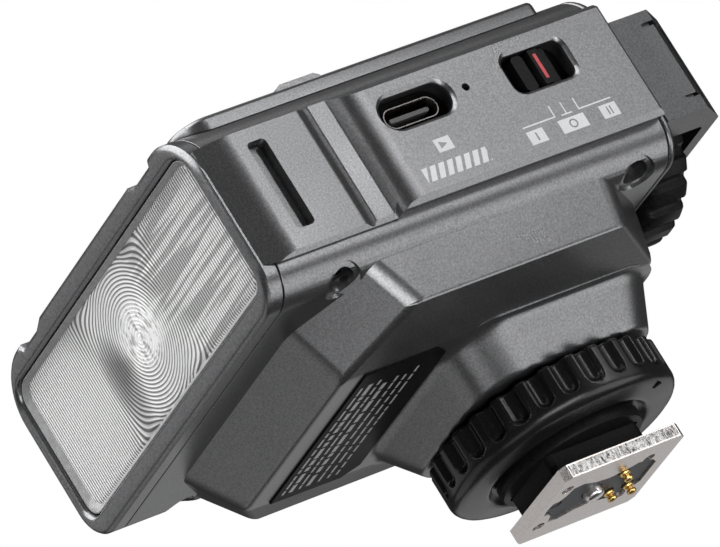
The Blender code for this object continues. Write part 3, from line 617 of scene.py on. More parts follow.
def make_bezel():
    """The front frame: a rounded outer edge, a flat rim and a slope down to the window."""
    half_line = [24.7, 24.2, 22, 19.1, 18.6, 16.8, 12, 6]
    line = half_line + [0] + [-x for x in reversed(half_line)]

    def outer(inset, y, share):
        """A ring of the outer edge; share is how much of the notches it takes part in."""
        dropped = [
            (u, v - notch_depth(u) * share if v > HEAD_TOP - inset - 0.001 else v)
            for u, v in head_outline(inset, extra=line)
        ]
        return on_plane(dropped, "XZ", y)

    def inner(inset, y):
        """A ring of the slope down to the window."""
        outline = rounded(
            WINDOW_HALF + inset, WINDOW_LOW - inset, WINDOW_TOP + inset, 2.4 + inset, steps=12,
            top_radius=3.4 + inset, extra=line,
        )
        return on_plane(outline, "XZ", y)

    edge = [(0.3, -49.4, 1.0), (0.08, -49.44, 1.0), (0.0, -49.55, 1.0), (0.0, -51.45, 1.0)]
    edge += [(0.2, -51.77, 1.0), (0.42, -51.95, 1.0), (0.72, -52.05, 0.95), (1.1, -52.09, 0.9)]
    slope = [(0.65, -52.1), (0.32, -52.0), (0.1, -51.78), (0.0, -51.45), (0.0, -49.4)]
    rings = [outer(*place) for place in edge] + [inner(*place) for place in slope]
    smooth(piece("bezel", loft(rings, closed=True), PAINT, ["front_bezel"]), 30)


def grid_faces(rows, columns):
    """A grid's cells and the run of its border, as vertex numbers."""
    index = np.arange(rows * columns).reshape(rows, columns)
    cells = np.stack([index[:-1, :-1], index[:-1, 1:], index[1:, 1:], index[1:, :-1]], -1)
    border = np.concatenate([index[0], index[1:, -1], index[-1, -2::-1], index[-2:0:-1, 0]])
    return cells.reshape(-1, 4), border


def lens_height(x, z):
    """How far the moulded ridges stand out: rings about the middle, upright ribs at both ends."""
    radius = np.sqrt(x * x + z * z)
    far = np.clip((np.abs(x) - RINGS_END) / (RIBS_START - RINGS_END), 0, 1)
    share = 1 - far * far * (3 - 2 * far)
    path = np.abs(x) + (radius - np.abs(x)) * share
    across = (path / RIDGE_PITCH) % 1.0 * 2 - 1
    return np.sqrt(1 - 0.86 * across * across) * 0.15


def lens_ripple(x, z):
    """The shallow level ripples on the lens's back, on the +X side only."""
    share = np.clip((x - 3) / 6, 0, 1)
    wander = 0.25 * np.sin(x / 5.1) + 0.2 * np.sin(x / 2.3 + 1.0)
    wave = np.sin(2 * math.pi * z / 1.25 + wander) + 0.5 * np.sin(2 * math.pi * z / 0.71)
    return share * wave * 0.02


def make_lens():
    """The Fresnel window: a fine height field in front, and a flat back."""
    half = WINDOW_HALF - 1.25
    low = WINDOW_LOW + 1.0
    top = WINDOW_TOP - 0.85
    columns = 760
    rows = 230
    xs = np.linspace(-half, half, columns)
    zs = np.linspace(low, top, rows)
    radius = 2.4

    def squeeze(z):
        """The half width left at height z by the window's rounded corners."""
        edge = np.minimum(z - low, top - z)
        short = np.clip(radius - edge, 0, radius)
        return half - (radius - np.sqrt(np.maximum(radius**2 - short**2, 0.0)))

    grid_x = xs[None, :] / half * squeeze(zs)[:, None]
    grid_z = np.repeat(zs[:, None], columns, 1)
    margin = np.minimum(half - np.abs(xs)[None, :], np.minimum(grid_z - low, top - grid_z))
    fade = np.clip(margin / 0.5, 0, 1)
    front = -50.7 - lens_height(grid_x, grid_z - LENS_MIDDLE) * fade
    back = -49.9 + lens_ripple(grid_x, grid_z - LENS_MIDDLE)
    verts = np.stack([np.stack([grid_x, depth, grid_z], -1) for depth in (front, back)])
    count = rows * columns
    cells, border = grid_faces(rows, columns)
    after = np.roll(border, -1)
    wall = np.stack([border, border + count, after + count, after], -1)
    faces = np.concatenate([cells, cells[:, ::-1] + count, wall])
    mesh = bpy.data.meshes.new("lens")
    mesh.from_pydata((verts.reshape(-1, 3) * MM).tolist(), [], faces.tolist())
    mesh.materials.append(LENS)
    lens = put("lens", mesh)
    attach(lens, "head")
    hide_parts("fresnel_lens")
    smooth(lens, 30)


def make_lens_frame():
    """The lens's plain moulded border: a slope from the bezel down to the ridges."""

    def ring(inset, y):
        outline = rounded(
            WINDOW_HALF - inset, WINDOW_LOW + inset * 0.8, WINDOW_TOP - inset * 0.7, 2.4, steps=10,
            top_radius=3.2 - inset * 0.6,
        )
        return on_plane(outline, "XZ", y)

    section = [(0.22, -49.6), (0.22, -51.3), (0.28, -51.4), (0.45, -51.42)]
    section += [(1.2, -50.8), (1.35, -50.6), (1.35, -49.6)]
    rings = [ring(*place) for place in section]
    smooth(piece("lens_border", loft(rings, closed=True), LENS_EDGE), 40)


def make_rear_cover():
    """The plate that closes the head behind, with a rounded rear edge, and a near-black core as
    painted shade in the seam between it and the casing.
    """
    front = [(16.3, 0.4), (16.32, 0.1), (16.45, 0.0)]
    rings = head_rings(*front, (16.9, 0.0), (17.2, 0.12), (17.4, 0.4), (17.5, 0.9))
    smooth(piece("rear_plate", loft(rings), PAINT, ["rear_cover"]), 50)
    # Painted shade: a near-black core inside the seam, so the gap between the casing and the plate
    # reads dark.
    core = loft(head_rings((15.5, 0.9), (16.6, 0.9)))
    smooth(piece("rear_seam_shade", core, DARK), 50)


def make_top_plate():
    """The raised top plate and the low pad across it, let into the casing's shoulders."""

    def ring(z, inset):
        outline = rounded(
            30.3 - inset, -48.6 + inset, 11.6 - inset, 4.5 - inset, steps=10,
            top_radius=1.4 - min(inset, 1.2),
        )
        return on_plane(outline, "XY", z)

    rings = [ring(54.0, 0.0), ring(57.5, 0.0), ring(57.85, 0.08), ring(58.1, 0.3), ring(58.2, 0.7)]
    plate = piece("top_plate", loft(rings), PAINT, ["top_cover"])
    section = [
        (-32.6, 57.6), (-24.6, 57.6), (-24.8, 58.3), (-25.6, 58.8), (-31.2, 58.8), (-32.2, 58.3)
    ]
    carve(plate, prism(section, "YZ", -30.1, 30.1), operation="UNION")
    gap = 0.1
    shoulder = rounded(
        HEAD_HALF + gap, 0.0, HEAD_TOP + gap, 5, steps=16, top_radius=TOP_RADIUS + gap
    )
    carve(plate, prism(shoulder, "XZ", -60, 30))
    smooth(plate, 38)


# ---------------------------------------------------------------- side covers


def cover_line(panel):
    """The side cover's section in the XY plane, from its front ramp to its rear edge."""
    points = [(31.5, -51.3), (33.7, -51.3), (33.76, -51.1)]
    for step in range(11):
        left = 1 - step / 10
        points.append((35.0 - 0.43 * left**2, -45.5 - 2.8 * left))
    points += [(35.0, -34.8), (34.9, -34.4), (34.6, -33.9), (34.45, -33.5), (34.5, -33.3)]
    points += [(34.9, -33.0), (35.0, -32.8), (35.0, -30.0)]
    if panel:
        points += [(35.08, -29.85), (35.9, -29.4), (36.45, -28.95), (36.8, -28.5)]
        points += [(37.0, -28.05), (37.13, -27.5), (37.21, -26.9), (37.27, -26.2), (37.3, -25.4)]
        points += [(37.3, 14.5), (37.2, 14.8), (36.95, 15.05), (35.4, 15.85)]
        points += [(34.6, 16.15), (33.98, 16.2), (31.5, 16.2)]
    else:
        points += [(35.0, 14.9), (34.9, 15.3), (34.6, 15.7), (33.98, 16.2), (31.5, 16.2)]
    return points


def seat():
    """A cutter the shape of the casing, with a small gap."""
    return prism(head_outline(-0.06), "XZ", -60, 30)


def racetrack(grow):
    """The socket opening's outline."""
    half = 2.95 + grow
    return rounded(6.25 + grow, USB_Z - half, USB_Z + half, 2.9 + grow, 10, USB_Y)


def switch_window(grow):
    """The switch opening's outline."""
    half = 3.4 + grow
    return rounded(5.6 + grow, SWITCH_Z - half, SWITCH_Z + half, 1.9 + grow, 8, SWITCH_Y)


def front_slot():
    """The blind slot's outline in the front part of the control cover."""
    return rounded(1.55, 37.0, 50.6, 0.7, 6, SLOT_Y)


def flared(outline):
    """A cutter for an opening in the panel: a chamfered rim, a thin lip and more room behind."""
    lip = 0.45
    steps = (
        (30.0, 0.0), (36.27, 0.0), (36.28, -lip), (37.3 - lip, -lip),
        (37.3 - lip + 0.12, -lip + 0.08), (37.2, -0.08), (37.3, 0.06), (37.5, 0.5),
    )
    return loft([on_plane(outline(grow), "YZ", x) for x, grow in steps])


def lower_edge(x, low_y, high_y, size):
    """A cutter that chamfers the cover's lower edge at its outer face and undercuts it behind."""
    low = COVER_LOW - 0.1
    outline = [
        (x + 1, low + size + 1), (x, low + size), (x - size, low), (33.4, low + 0.9),
        (32.5, low - 2), (x + 1, low - 2),
    ]
    return prism(outline, "XZ", low_y, high_y)


def make_control_cover():
    """The cover on the control side, with its openings and its chamfered edges."""
    outline = cover_line(True)
    cover = piece(
        "control_cover", prism(outline, "XY", COVER_LOW - 0.1, COVER_TOP), PAINT,
        ["side_cover_right"],
    )
    draft = [(35.02, 54), (35.02, COVER_TOP - 0.02), (37.35, 51.2), (40, 51.2), (40, 54)]
    led = circle(0.58, 24, (LED_Y, USB_Z))
    carve(
        cover, seat(), prism(draft, "XZ", -29.75, 20), prism(front_slot(), "YZ", 33.0, 38),
        prism(led, "YZ", 30, 40), flared(racetrack), flared(switch_window),
        lower_edge(PANEL_X, -29.2, 20, 0.75), lower_edge(STEP_X, -60, -29.3, 0.6),
    )
    soften(cover, 0.24, 3, 30)


def make_slot_plate():
    """The plate at the bottom of the front slot, with a fine gap round it, in a darker copy of the
    paint as painted shade.
    """
    outline = rounded(1.32, 37.22, 50.38, 0.55, 6, SLOT_Y)
    soften(piece("slot_plate", prism(outline, "YZ", 32.8, 33.3), SHADED_RECESS), 0.06, 2)


def make_plain_cover():
    """The cover on the far side, without controls."""
    outline = [(-x, y) for x, y in cover_line(False)]
    cover = piece(
        "plain_cover", prism(outline, "XY", COVER_LOW, COVER_TOP), PAINT,
        ["side_cover_left"],
    )
    carve(cover, seat())
    soften(cover, 0.24, 3, 30)


def make_shade_floors():
    """Near-black floors behind the socket and the switch, as painted shade inside their openings.
    """
    hole = rounded(4.5, USB_Z - 1.65, USB_Z + 1.65, 1.6, 8, USB_Y)
    # Painted shade: these near-black sheets stand in for the shade inside the openings.
    floor = piece("socket_shade_floor", prism(racetrack(-0.15), "YZ", 33.2, 34.2), DARK)
    carve(floor, prism(hole, "YZ", 30, 36))
    soften(floor, 0.1, 2)
    slot = rounded(4.2, SWITCH_Z - 1.4, SWITCH_Z + 1.4, 0.5, 4, SWITCH_Y)
    shade_tray = piece(
        "switch_shade_floor", prism(switch_window(-0.15), "YZ", 33.2, 33.8), DARK
    )
    carve(shade_tray, prism(slot, "YZ", 30, 36))
    soften(shade_tray, 0.1, 2)


def make_socket():
    """The USB-C shell, its thin rim and its tongue."""

    def ring(half, tall, x):
        outline = rounded(half, USB_Z - tall, USB_Z + tall, tall - 0.05, 8, USB_Y)
        return on_plane(outline, "YZ", x)

    section = [(4.45, 1.6, 28.0), (4.45, 1.6, 35.1), (4.4, 1.55, 35.2)]
    section += [(4.25, 1.4, 35.2), (4.15, 1.3, 35.05), (4.15, 1.3, 28.4)]
    rings = [ring(*place) for place in section]
    smooth(piece("usb_shell", loft(rings), SOCKET, ["usb_c_shell"]), 35)
    tongue = rounded(3.3, USB_Z - 0.35, USB_Z + 0.35, 0.3, 4, USB_Y)
    blade = piece(
        "usb_tongue", prism(tongue, "YZ", 28.5, 34.6), TONGUE, ["usb_c_tongue"]
    )
    soften(blade, 0.08, 2)
    build = bmesh.new()
    for number in range(12):
        y = USB_Y + (number - 5.5) * 0.5
        pad = rounded(0.15, USB_Z + 0.34, USB_Z + 0.38, 0.01, 1, y)
        add_loft(build, [on_plane(pad, "YZ", x) for x in (29.5, 34.4)])
    piece("usb_pads", build, GOLD)


def make_lamp_dot():
    """The charge lamp: a small domed light pipe."""
    profile = [(0.01, 27.6), (0.4, 27.6), (0.4, 36.3), (0.34, 36.5), (0.2, 36.6), (0.01, 36.63)]
    rings = spun(profile, 20, (LED_Y, USB_Z), "YZ")
    smooth(piece("charge_lamp", loft(rings), SMOKED, ["charge_led"]), 40)


def make_knob():
    """The mode switch's knob: a base, two lands and a ridge that carries the red line."""
    base = rounded(2.9, 43.35, 49.05, 0.7, 5, SWITCH_Y)
    knob = piece(
        "switch_knob", prism(base, "YZ", 34.0, 34.7), BLACK, ["mode_switch_knob"],
        "mode_switch",
    )
    front = rounded(0.95, 43.4, 49.0, 0.75, 6, SWITCH_Y - 1.95)
    ridge = rounded(0.75, 43.5, 48.9, 0.15, 3, SWITCH_Y + 0.6)
    rear = rounded(0.72, 43.4, 49.0, 0.5, 5, SWITCH_Y + 2.15)
    carve(
        knob, prism(front, "YZ", 34.5, 36.2), prism(ridge, "YZ", 34.5, 36.75),
        prism(rear, "YZ", 34.5, 35.95), operation="UNION",
    )
    soften(knob, 0.14, 3)
    line = rounded(0.26, 44.3, 48.2, 0.12, 4, SWITCH_Y + 0.6)
    mark = piece(
        "switch_line", prism(line, "YZ", 36.5, 36.8), RED, ["mode_switch_mark"],
        "mode_switch",
    )
    soften(mark, 0.04, 2)


# ---------------------------------------------------------------- printed marks


def print_shape(build, corners, x):
    """Adds a thin flat shape on the +X panel from its (y, z) corners."""
    add_loft(build, [on_plane(corners, "YZ", x - 0.02), on_plane(corners, "YZ", x + 0.03)])


def box(low_u, high_u, low_v, high_v):
    """A rectangle's corners, anticlockwise."""
    return [(low_u, low_v), (high_u, low_v), (high_u, high_v), (low_u, high_v)]


def make_marks():
    """Printed marks on the panel: brackets under the switch, plain boxes and a striped bar."""
    build = bmesh.new()
    tags = [(-6.6, -3.85, 35.75, 37.8), (-1.2, 3.2, 35.75, 37.8), (5.8, 8.6, 35.75, 37.8)]
    tags.append((-20.2, -17.6, 39.3, 41.3))
    lines = [(-6.6, -1.0, 38.42, 38.62), (-1.2, -1.0, 38.62, 40.3), (2.9, 8.4, 38.36, 38.56)]
    lines += [(2.9, 3.1, 38.56, 40.2), (0.75, 0.95, 38.5, 40.25), (-0.06, 1.75, 38.3, 38.5)]
    for place in tags + lines:
        print_shape(build, box(*place), PANEL_X)
    low, high = 35.85, 38.0
    start, end = -24.3, -13.5
    stripe, pitch, lean = 0.92, 1.44, 0.9
    for number in range(-1, 8):
        foot = start + 0.6 + number * pitch
        top = foot + lean
        corners = [(foot, low), (foot + stripe, low), (top + stripe, high), (top, high)]
        clipped = clip(corners, start, end)
        if clipped:
            print_shape(build, clipped, PANEL_X)
    piece("panel_print", build, PRINT)

    build = bmesh.new()
    for low_y, high_y in ((-5.35, -5.1), (6.85, 7.05), (7.4, 7.6)):
        print_shape(build, box(low_y, high_y, 36.15, 37.4), PANEL_X + 0.02)
    sections = ((0.68, 0.0), (0.68, 0.05), (0.46, 0.05), (0.46, 0.0))
    rings = [on_plane(circle(r, 24, (1.0, 36.78)), "YZ", PANEL_X + x) for r, x in sections]
    add_loft(build, rings, closed=True)
    arrow = [(-19.55, 39.75), (-18.35, 40.3), (-19.55, 40.85)]
    print_shape(build, arrow, PANEL_X + 0.02)
    piece("panel_signs", build, PAINT)


def clip(corners, start, end):
    """Keeps the part of a slanted bar between two places along Y."""
    kept = corners
    for limit, sign in ((start, 1), (end, -1)):
        result = []
        for i, (y, z) in enumerate(kept):
            y2, z2 = kept[(i + 1) % len(kept)]
            inside = (y - limit) * sign >= 0
            inside_after = (y2 - limit) * sign >= 0
            if inside:
                result.append((y, z))
            if inside != inside_after:
                t = (limit - y) / (y2 - y)
                result.append((limit, z + t * (z2 - z)))
        kept = result
        if not kept:
            return []
    return kept


# ---------------------------------------------------------------- rear housing and dial


def round_ended(item, inset):
    """Rounds the ends of an upright channel or strip, as seen from +X."""
    outline = rounded(3.7 - inset * 0.5, 36.1 + inset, 48.5 - inset, 2.0 - inset, 8, 25.2)
    carve(item, prism(outline, "YZ", 26, 38), operation="INTERSECT")
    return item


def make_housing():
    """The rear housing, open below and above for the dial and behind for the display."""
    outline = [(-33.0, 17.8), (33.0, 17.8), (33.0, 24.8)]
    outline += [(28.0, 29.3), (-28.0, 29.3), (-33.0, 24.8)]
    housing = piece(
        "rear_box", prism(outline, "XY", 34.0, 50.2), HOUSING, ["rear_housing"]
    )
    bay = rounded(DIAL_RADIUS + 0.6, 35.2, 49.0, 1.0, 4, DIAL_X)
    slot = rounded(14.3, 16.0, 27.3, 0.9, 5, DIAL_X)
    screen_bay = rounded(12.4, 36.4, 47.8, 1.0, 4, -18.0)
    screen = rounded(9.5, 37.6, 46.6, 1.2, 6, -18.0)
    side = [(36, 22.1), (32.3, 22.1), (32.3, 24.5), (29.0, 27.5), (29.9, 28.7), (36, 27.0)]
    side_short = [(36, 22.6), (32.3, 22.6), (32.3, 24.3), (29.5, 27.0), (30.4, 28.2), (36, 26.4)]
    button = circle(2.45, 40, BUTTON_PLACE)
    carve(
        housing, prism(bay, "XZ", 15, 27.3), prism(slot, "XY", 25, 60),
        prism(screen_bay, "XZ", 15, 27.2), prism(screen, "XZ", 26, 31), prism(button, "XZ", 24, 31),
        round_ended(tool(prism(side, "XY", 35, 49.5)), 0.5),
        round_ended(tool(prism(side_short, "XY", 35, 49.5)), 0.0),
    )
    soften(housing, 0.3, 3, 30)


def make_windows():
    """The glass strip on the housing's chamfered edge, and the display's pane."""
    outline = [
        (32.25, 22.25), (32.75, 22.25), (32.78, 24.65), (29.5, 27.75), (29.1, 27.4), (32.25, 24.5)
    ]
    strip = piece(
        "side_glass", prism(outline, "XY", 35, 49.5), HOUSING, ["side_window"]
    )
    soften(round_ended(strip, 0.6), 0.1, 2)
    glass = rounded(9.3, 37.8, 46.4, 1.0, 6, -18.0)
    pane = piece(
        "display_glass", prism(glass, "XZ", 28.1, 29.15), SMOKED, ["display_window"]
    )
    soften(pane, 0.15, 3)


def make_dial():
    """The ribbed dial: broad rounded ribs with narrow grooves between them."""
    profile = [
        (3.2, 0.0), (13.6, 0.0), (14.6, 0.15), (15.15, 0.5), (15.4, 1.0), (15.4, 5.7),
        (15.15, 6.2), (14.6, 6.55), (13.6, 6.7), (3.2, 6.7),
    ]

    depth, share = 0.75, 0.42

    def groove(phase, _height):
        return depth * max(0.0, 1 - (abs(phase) * 2 / share) ** 2) ** 0.5

    rings = fluted(profile, DIAL_RIBS, (DIAL_X, DIAL_Z), "XZ", DIAL_FRONT, 14.0, groove)
    dial = piece(
        "dial", loft(rings, closed=True), BLACK, ["rear_dial"], "rear_dial"
    )
    smooth(dial, 40)


def make_button():
    """The round test button, with a dished face."""
    profile = [
        (0.01, 0.0), (3.2, 0.0), (3.2, 1.0), (2.2, 1.0), (2.2, 3.7), (2.1, 4.0), (1.85, 4.15),
        (1.5, 4.2), (1.0, 4.1), (0.01, 4.0),
    ]
    rings = spun(profile, 40, BUTTON_PLACE, "XZ", 25.7)
    smooth(piece("button", loft(rings), BLACK, ["test_button"], "test_button"), 35)


# ---------------------------------------------------------------- ring, post and foot


def make_ring():
    """The lock ring: a smooth turned body with round-ended flutes round its rim."""
    profile = [(9.9, 13.9), (16.6, 13.9), (17.2, 13.8), (17.5, 13.6)]
    profile += [(17.6, 13.4 - 0.2 * step) for step in range(25)]
    profile += [(17.58, 8.3), (17.48, 7.9), (17.25, 7.5), (16.9, 7.15), (16.4, 6.9)]
    profile += [(15.6, 6.75), (13.6, 6.5), (12.9, 6.4), (12.55, 6.42), (12.3, 6.6), (12.1, 6.9)]
    profile += [(11.6, 7.4), (11.3, 7.6), (9.9, 7.6)]
    depth, half, low, high = 0.95, 1.25, 9.95, 15.0

    def flute(phase, z):
        along = phase * 2 * math.pi * RING_RADIUS / RING_FLUTES
        distance = math.hypot(along, max(0.0, low - z), max(0.0, z - high) * 0.9)
        return depth * max(0.0, 1 - (distance / half) ** 2) ** 0.6

    rings = fluted(profile, RING_FLUTES, (0, POST_Y), "XY", 0.0, 16.5, flute)
    ring = piece(
        "ring", loft(rings, closed=True), SATIN_BLACK, ["lock_ring"], "lock_ring"
    )
    smooth(ring, 55)
    mark = [(15.0, -0.9), (16.3, -0.9), (16.3, -0.2), (15.0, -0.2)]
    turn = math.radians(38)
    outline = []
    for u, v in mark:
        x = u * math.cos(turn) - v * math.sin(turn)
        y = u * math.sin(turn) + v * math.cos(turn)
        outline.append((x, POST_Y + y))
    notch = piece(
        "ring_mark", prism(outline, "XY", 6.6, 6.9), DARK, body="lock_ring"
    )
    soften(notch, 0.05, 2)


def make_clamp():
    """The clamp disc, with rounded rims and the post's opening through it."""
    profile = [(10.4, 5.1), (10.8, 5.2), (11.0, 5.5), (11.0, 6.9), (10.8, 7.2)]
    rings = spun(profile, 96, (0, POST_Y))
    clamp = piece("clamp_disc", loft(rings), BLACK, ["clamp_plate"], "clamp")
    carve(clamp, prism(post_outline(0.25), "XY", 3, 9))
    smooth(clamp, 35)


def post_outline(grow):
    """The post's section, rounded at its corners."""
    half = 8.1 + grow
    return rounded(6.2 + grow, POST_Y - half, POST_Y + half, 1.1 + grow)


def make_post():
    """The post between the foot plate and the neck."""
    levels = ((2.02, -0.1), (2.15, 0.0), (14.6, 0.0), (17.5, 0.0))
    rings = [on_plane(post_outline(grow), "XY", z) for z, grow in levels]
    smooth(piece("post", loft(rings), BLACK, ["shoe_post"]), 40)


def insert_outline(grow):
    """The insulating insert's outline, or a little more than it for the hole it sits in."""
    half = [
        (0.4, -9.2), (1.5, -9.0), (1.7, -8.0), (2.7, -7.3), (4.5, -6.9), (4.8, -5.2), (3.6, -2.4),
        (3.3, 0.0), (3.9, 2.4), (4.8, 4.2), (4.0, 7.0), (2.6, 8.3),
    ]
    scaled = [(x + grow, y + (grow if y > 0 else -grow) * 0.6) for x, y in half]
    return scaled + [(-x, y) for x, y in reversed(scaled)]


def make_foot():
    """The nickel foot plate, its chopped long edges and its insulating insert."""
    clip_size = 0.9
    half = 9.3
    end = 10.35
    right = [(half - clip_size, -end), (half, -end + clip_size)]
    right += [(half, end - clip_size), (half - clip_size, end)]
    outline = right + [(-x, y) for x, y in reversed(right)]
    plate = piece("foot", prism(outline, "XY", 0.0, 2.0), NICKEL, ["foot_plate"])
    places = ((5.1, -8.3), (-5.1, -8.3), (5.1, 5.9), (-5.1, 5.9))
    cups = [prism(circle(0.95, 28, place), "XY", -1, 0.9) for place in places]
    carve(plate, prism(insert_outline(0.12), "XY", -1, 3), *cups)
    soften(plate, 0.12, 3, 35)
    for side, name in ((1, "right"), (-1, "left")):
        make_chopped_edge(side, name, half, end - clip_size)
    insert = piece(
        "insert", prism(insert_outline(0.0), "XY", 0.3, 2.0), INSERT,
        ["contact_insulator"],
    )
    holes = [prism(circle(1.65, 40, (0, POST_Y)), "XY", -1, 3)]
    for place in PIN_PLACES:
        holes.append(prism(circle(0.7, 24, place), "XY", -1, 3))
        holes.append(prism(circle(0.95, 28, place), "XY", -1, 1.15))
    holes.append(prism(circle(0.95, 28, LOCK_PIN_PLACE), "XY", -1, 3))
    carve(insert, *holes)
    soften(insert, 0.1, 2, 35)


def make_chopped_edge(side, name, half, end):
    """The rough sheared skin on a long edge of the plate, as a fine height field."""
    columns = 150
    rows = 14
    rng = np.random.default_rng(7 + side)
    coarse = rng.normal(0, 1, (rows, columns))
    drawn = coarse.copy()
    for shift in (1, 2, 3):
        drawn[shift:] += coarse[:-shift] * (1 - shift / 4)
    drawn = drawn / np.abs(drawn).max()
    ys = np.linspace(-end + 0.1, end - 0.1, columns)
    zs = np.linspace(0.14, 1.86, rows)
    verts = []
    for row in range(rows):
        for column in range(columns):
            edge = row in (0, rows - 1) or column in (0, columns - 1)
            out = -0.05 if edge else 0.035 + 0.05 * drawn[row, column]
            verts.append((side * (half + out), ys[column], zs[row]))
    cells, border = grid_faces(rows, columns)
    build = bmesh.new()
    made = [build.verts.new(vert) for vert in verts]
    for face in cells:
        build.faces.new([made[i] for i in face])
    skin = [made[i] for i in border]
    back = [build.verts.new((side * (half - 0.3), v.co.y, v.co.z)) for v in skin]
    for i in range(len(skin)):
        j = (i + 1) % len(skin)
        build.faces.new((skin[i], skin[j], back[j], back[i]))
    build.faces.new(back)
    smooth(piece("foot_edge_" + name, build, CHOPPED), 25)


def make_contacts():
    """The domed centre contact, the gold pins with collars and ball tips, and the lock pin."""
    dome = [(0.01, 1.2), (1.5, 1.2), (1.5, -0.35), (1.42, -0.6), (1.15, -0.82), (0.7, -0.93)]
    dome.append((0.01, -0.95))
    rings = spun(dome, 48, (0, POST_Y))
    contact = piece(
        "contact_dome", loft(rings), BRIGHT, ["centre_contact"], "centre_contact"
    )
    smooth(contact, 35)
    pin = [
        (0.01, 1.2), (0.5, 1.2), (0.5, 0.35), (0.8, 0.2), (0.84, -0.02), (0.74, -0.2),
        (0.46, -0.32), (0.42, -0.45), (0.5, -0.56), (0.68, -0.7), (0.72, -0.9), (0.62, -1.1),
        (0.4, -1.22), (0.01, -1.27),
    ]
    for number, place in enumerate(PIN_PLACES, start=1):
        body = f"contact_pin_{number}"
        item = piece(f"gold_pin_{number}", loft(spun(pin, 28, place)), GOLD, [body], body)
        smooth(item, 35)
    lock = [(0.01, 9.0), (0.8, 9.0), (0.8, 0.6), (0.72, 0.45), (0.5, 0.4), (0.01, 0.4)]
    build = loft(spun(lock, 28, LOCK_PIN_PLACE))
    smooth(piece("locking_pin", build, STEEL, ["lock_pin"], "lock_pin"), 35)


def make_label():
    """The label under the casing: a thin dark film with rows of plain lines."""
    outline = [(-15.4, -20.6), (-17.7, -23.0), (-17.5, -35.2), (17.5, -35.2), (17.7, -23.0)]
    outline.append((15.4, -20.6))
    film = piece(
        "label_film", prism(outline, "XY", 20.82, 21.2), LABEL, ["rating_label"]
    )
    soften(film, 0.06, 2)
    rng = np.random.default_rng(11)
    build = bmesh.new()
    for row, y in enumerate((-34.2, -33.0, -31.3, -30.0, -28.0, -26.4, -24.9)):
        x = -15.6
        tall = 1.5 if row in (1, 3) else 0.8
        while x < 15.0:
            length = float(rng.uniform(0.8, 3.0))
            if x + length > 15.4:
                break
            high = y + tall * 0.5
            corners = box(x, x + length, y, high)
            add_loft(build, [on_plane(corners, "XY", z) for z in (20.79, 20.84)])
            x += length + float(rng.uniform(0.35, 0.8))
    piece("label_lines", build, LABEL_PRINT)


# ---------------------------------------------------------------- carried-over nodes

FINISHES = {
    "reflector": FOIL,
    "flash_tube": TUBE,
    "tube_holder_left": RUBBER,
    "tube_holder_right": RUBBER,
    "main_board": BOARD,
    "shoe_board": BOARD,
    "main_capacitor": SLEEVE,
    "battery_pack": BLACK,
    "trigger_coil": STEEL,
    "display_module": DARK,
    "dial_shaft": STEEL,
    "mode_switch_body": STEEL,
}

make_casing()
make_hull()
make_neck()
make_bezel()
make_lens()
make_lens_frame()
make_rear_cover()
make_top_plate()
make_control_cover()
make_plain_cover()
make_slot_plate()
make_shade_floors()
make_socket()
make_lamp_dot()
make_knob()
make_marks()
make_housing()
make_windows()
make_dial()
make_button()
make_ring()
make_clamp()
make_post()
make_foot()
make_contacts()
make_label()

for name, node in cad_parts.items():
    if node.hide_render:
        continue
    finish = FINISHES.get(name, STEEL)
    node.data.materials.clear()
    node.data.materials.append(finish)

# ---------------------------------------------------------------- camera, floor and light

CAMERA_TURN = (109.288531, 30.313969, 64.732432)
LIGHT_DISTANCE = 0.9
ROOM_GLOW = 0.04


def make_camera():
    """The camera below the flash, looking up at its window, its control side and its foot."""
    data = bpy.data.cameras.new("camera")
    data.lens = 447.02
    data.sensor_width = 36.0
    data.clip_start = 0.01
    data.clip_end = 20.0
    camera = put("camera", data)
    camera.location = (0.94305, -0.68227, -0.30272)
    camera.rotation_euler = [math.radians(angle) for angle in CAMERA_TURN]
    bpy.context.scene.camera = camera


def make_floor():
    """A pale floor that shows from above only, so that it stays clear of a view from below."""
    size = 0.9
    corners = [(x, y, -1.8 * MM) for x, y in box(-size, size, -size, size)]
    mesh = bpy.data.meshes.new("floor")
    mesh.from_pydata(corners, [], [(0, 1, 2, 3)])
    floor = put("floor", mesh)
    nodes = Nodes("floor_white")
    speck = nodes.noise(40.0, 3.0)
    colour = nodes.blend(nodes.spread(speck, 0.0, 1.0), (0.80, 0.80, 0.80), (0.84, 0.84, 0.84))
    nodes.settle(Base_Color=colour, Roughness=0.8)
    seen = nodes.add("NewGeometry")
    through = nodes.add("BsdfTransparent")
    mix = nodes.add("MixShader")
    output = nodes.tree.nodes["Material Output"]
    nodes.link(seen.outputs["Backfacing"], mix.inputs[0])
    nodes.link(nodes.shader.outputs["BSDF"], mix.inputs[1])
    nodes.link(through.outputs["BSDF"], mix.inputs[2])
    nodes.link(mix.outputs["Shader"], output.inputs["Surface"])
    mesh.materials.append(nodes.material)
    floor.visible_shadow = False
    floor.visible_glossy = False
    floor.visible_diffuse = False


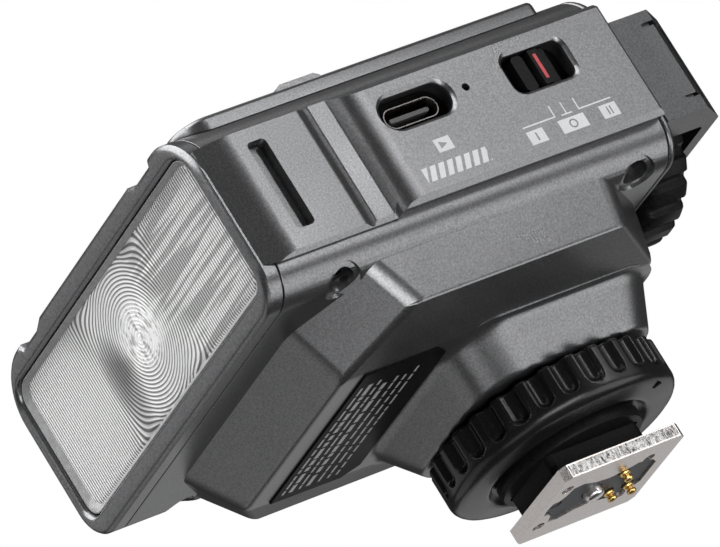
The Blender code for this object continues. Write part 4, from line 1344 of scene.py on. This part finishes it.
def area_light(name, azimuth, elevation, width, height, watts):
    """A soft light aimed at the flash; azimuth runs from +X towards +Y, in degrees."""
    data = bpy.data.lights.new(name, "AREA")
    data.shape = "RECTANGLE"
    data.size = width
    data.size_y = height
    data.energy = watts
    lamp = put(name, data)
    a = math.radians(azimuth)
    e = math.radians(elevation)
    way = Vector((math.cos(e) * math.cos(a), math.cos(e) * math.sin(a), math.sin(e)))
    lamp.location = Vector((0, -0.015, 0.035)) + way * LIGHT_DISTANCE
    lamp.rotation_mode = "QUATERNION"
    lamp.rotation_quaternion = way.to_track_quat("Z", "Y")
    lamp.visible_camera = False


def make_lights():
    """Soft boxes for the faces that the photograph's view shows, and a white surround."""
    area_light("strip", 29, 12, 0.08, 0.9, 1.7)
    area_light("side_panel", 49, 2, 0.42, 0.8, 0.85)
    area_light("side_low", 50, -46, 0.8, 0.5, 2.2)
    area_light("far_front", -144, 14, 0.7, 0.6, 0.6)
    area_light("low_front", -142, -30, 1.1, 0.5, 0.8)
    area_light("low_right", -16, -38, 0.6, 0.35, 3.0)
    area_light("corner", -72, -52, 0.4, 0.35, 0.4)
    area_light("backdrop", 143, -20, 0.8, 0.5, 0.6)
    area_light("lens_high", -85, 62, 1.3, 1.3, 21.0)
    area_light("top", 60, 80, 0.7, 0.7, 1.0)
    world = bpy.data.worlds.new("studio")
    bpy.context.scene.world = world
    world.use_nodes = True
    tree = world.node_tree
    tree.nodes.clear()
    path = tree.nodes.new("ShaderNodeLightPath")
    mix = tree.nodes.new("ShaderNodeMixShader")
    output = tree.nodes.new("ShaderNodeOutputWorld")
    tree.links.new(path.outputs["Is Camera Ray"], mix.inputs[0])
    for socket, strength in ((mix.inputs[1], ROOM_GLOW), (mix.inputs[2], 1.0)):
        white = tree.nodes.new("ShaderNodeBackground")
        white.inputs["Color"].default_value = (1, 1, 1, 1)
        white.inputs["Strength"].default_value = strength
        tree.links.new(white.outputs[0], socket)
    tree.links.new(mix.outputs[0], output.inputs["Surface"])
    bpy.context.scene.view_settings.view_transform = "Standard"


make_camera()
make_floor()
make_lights()
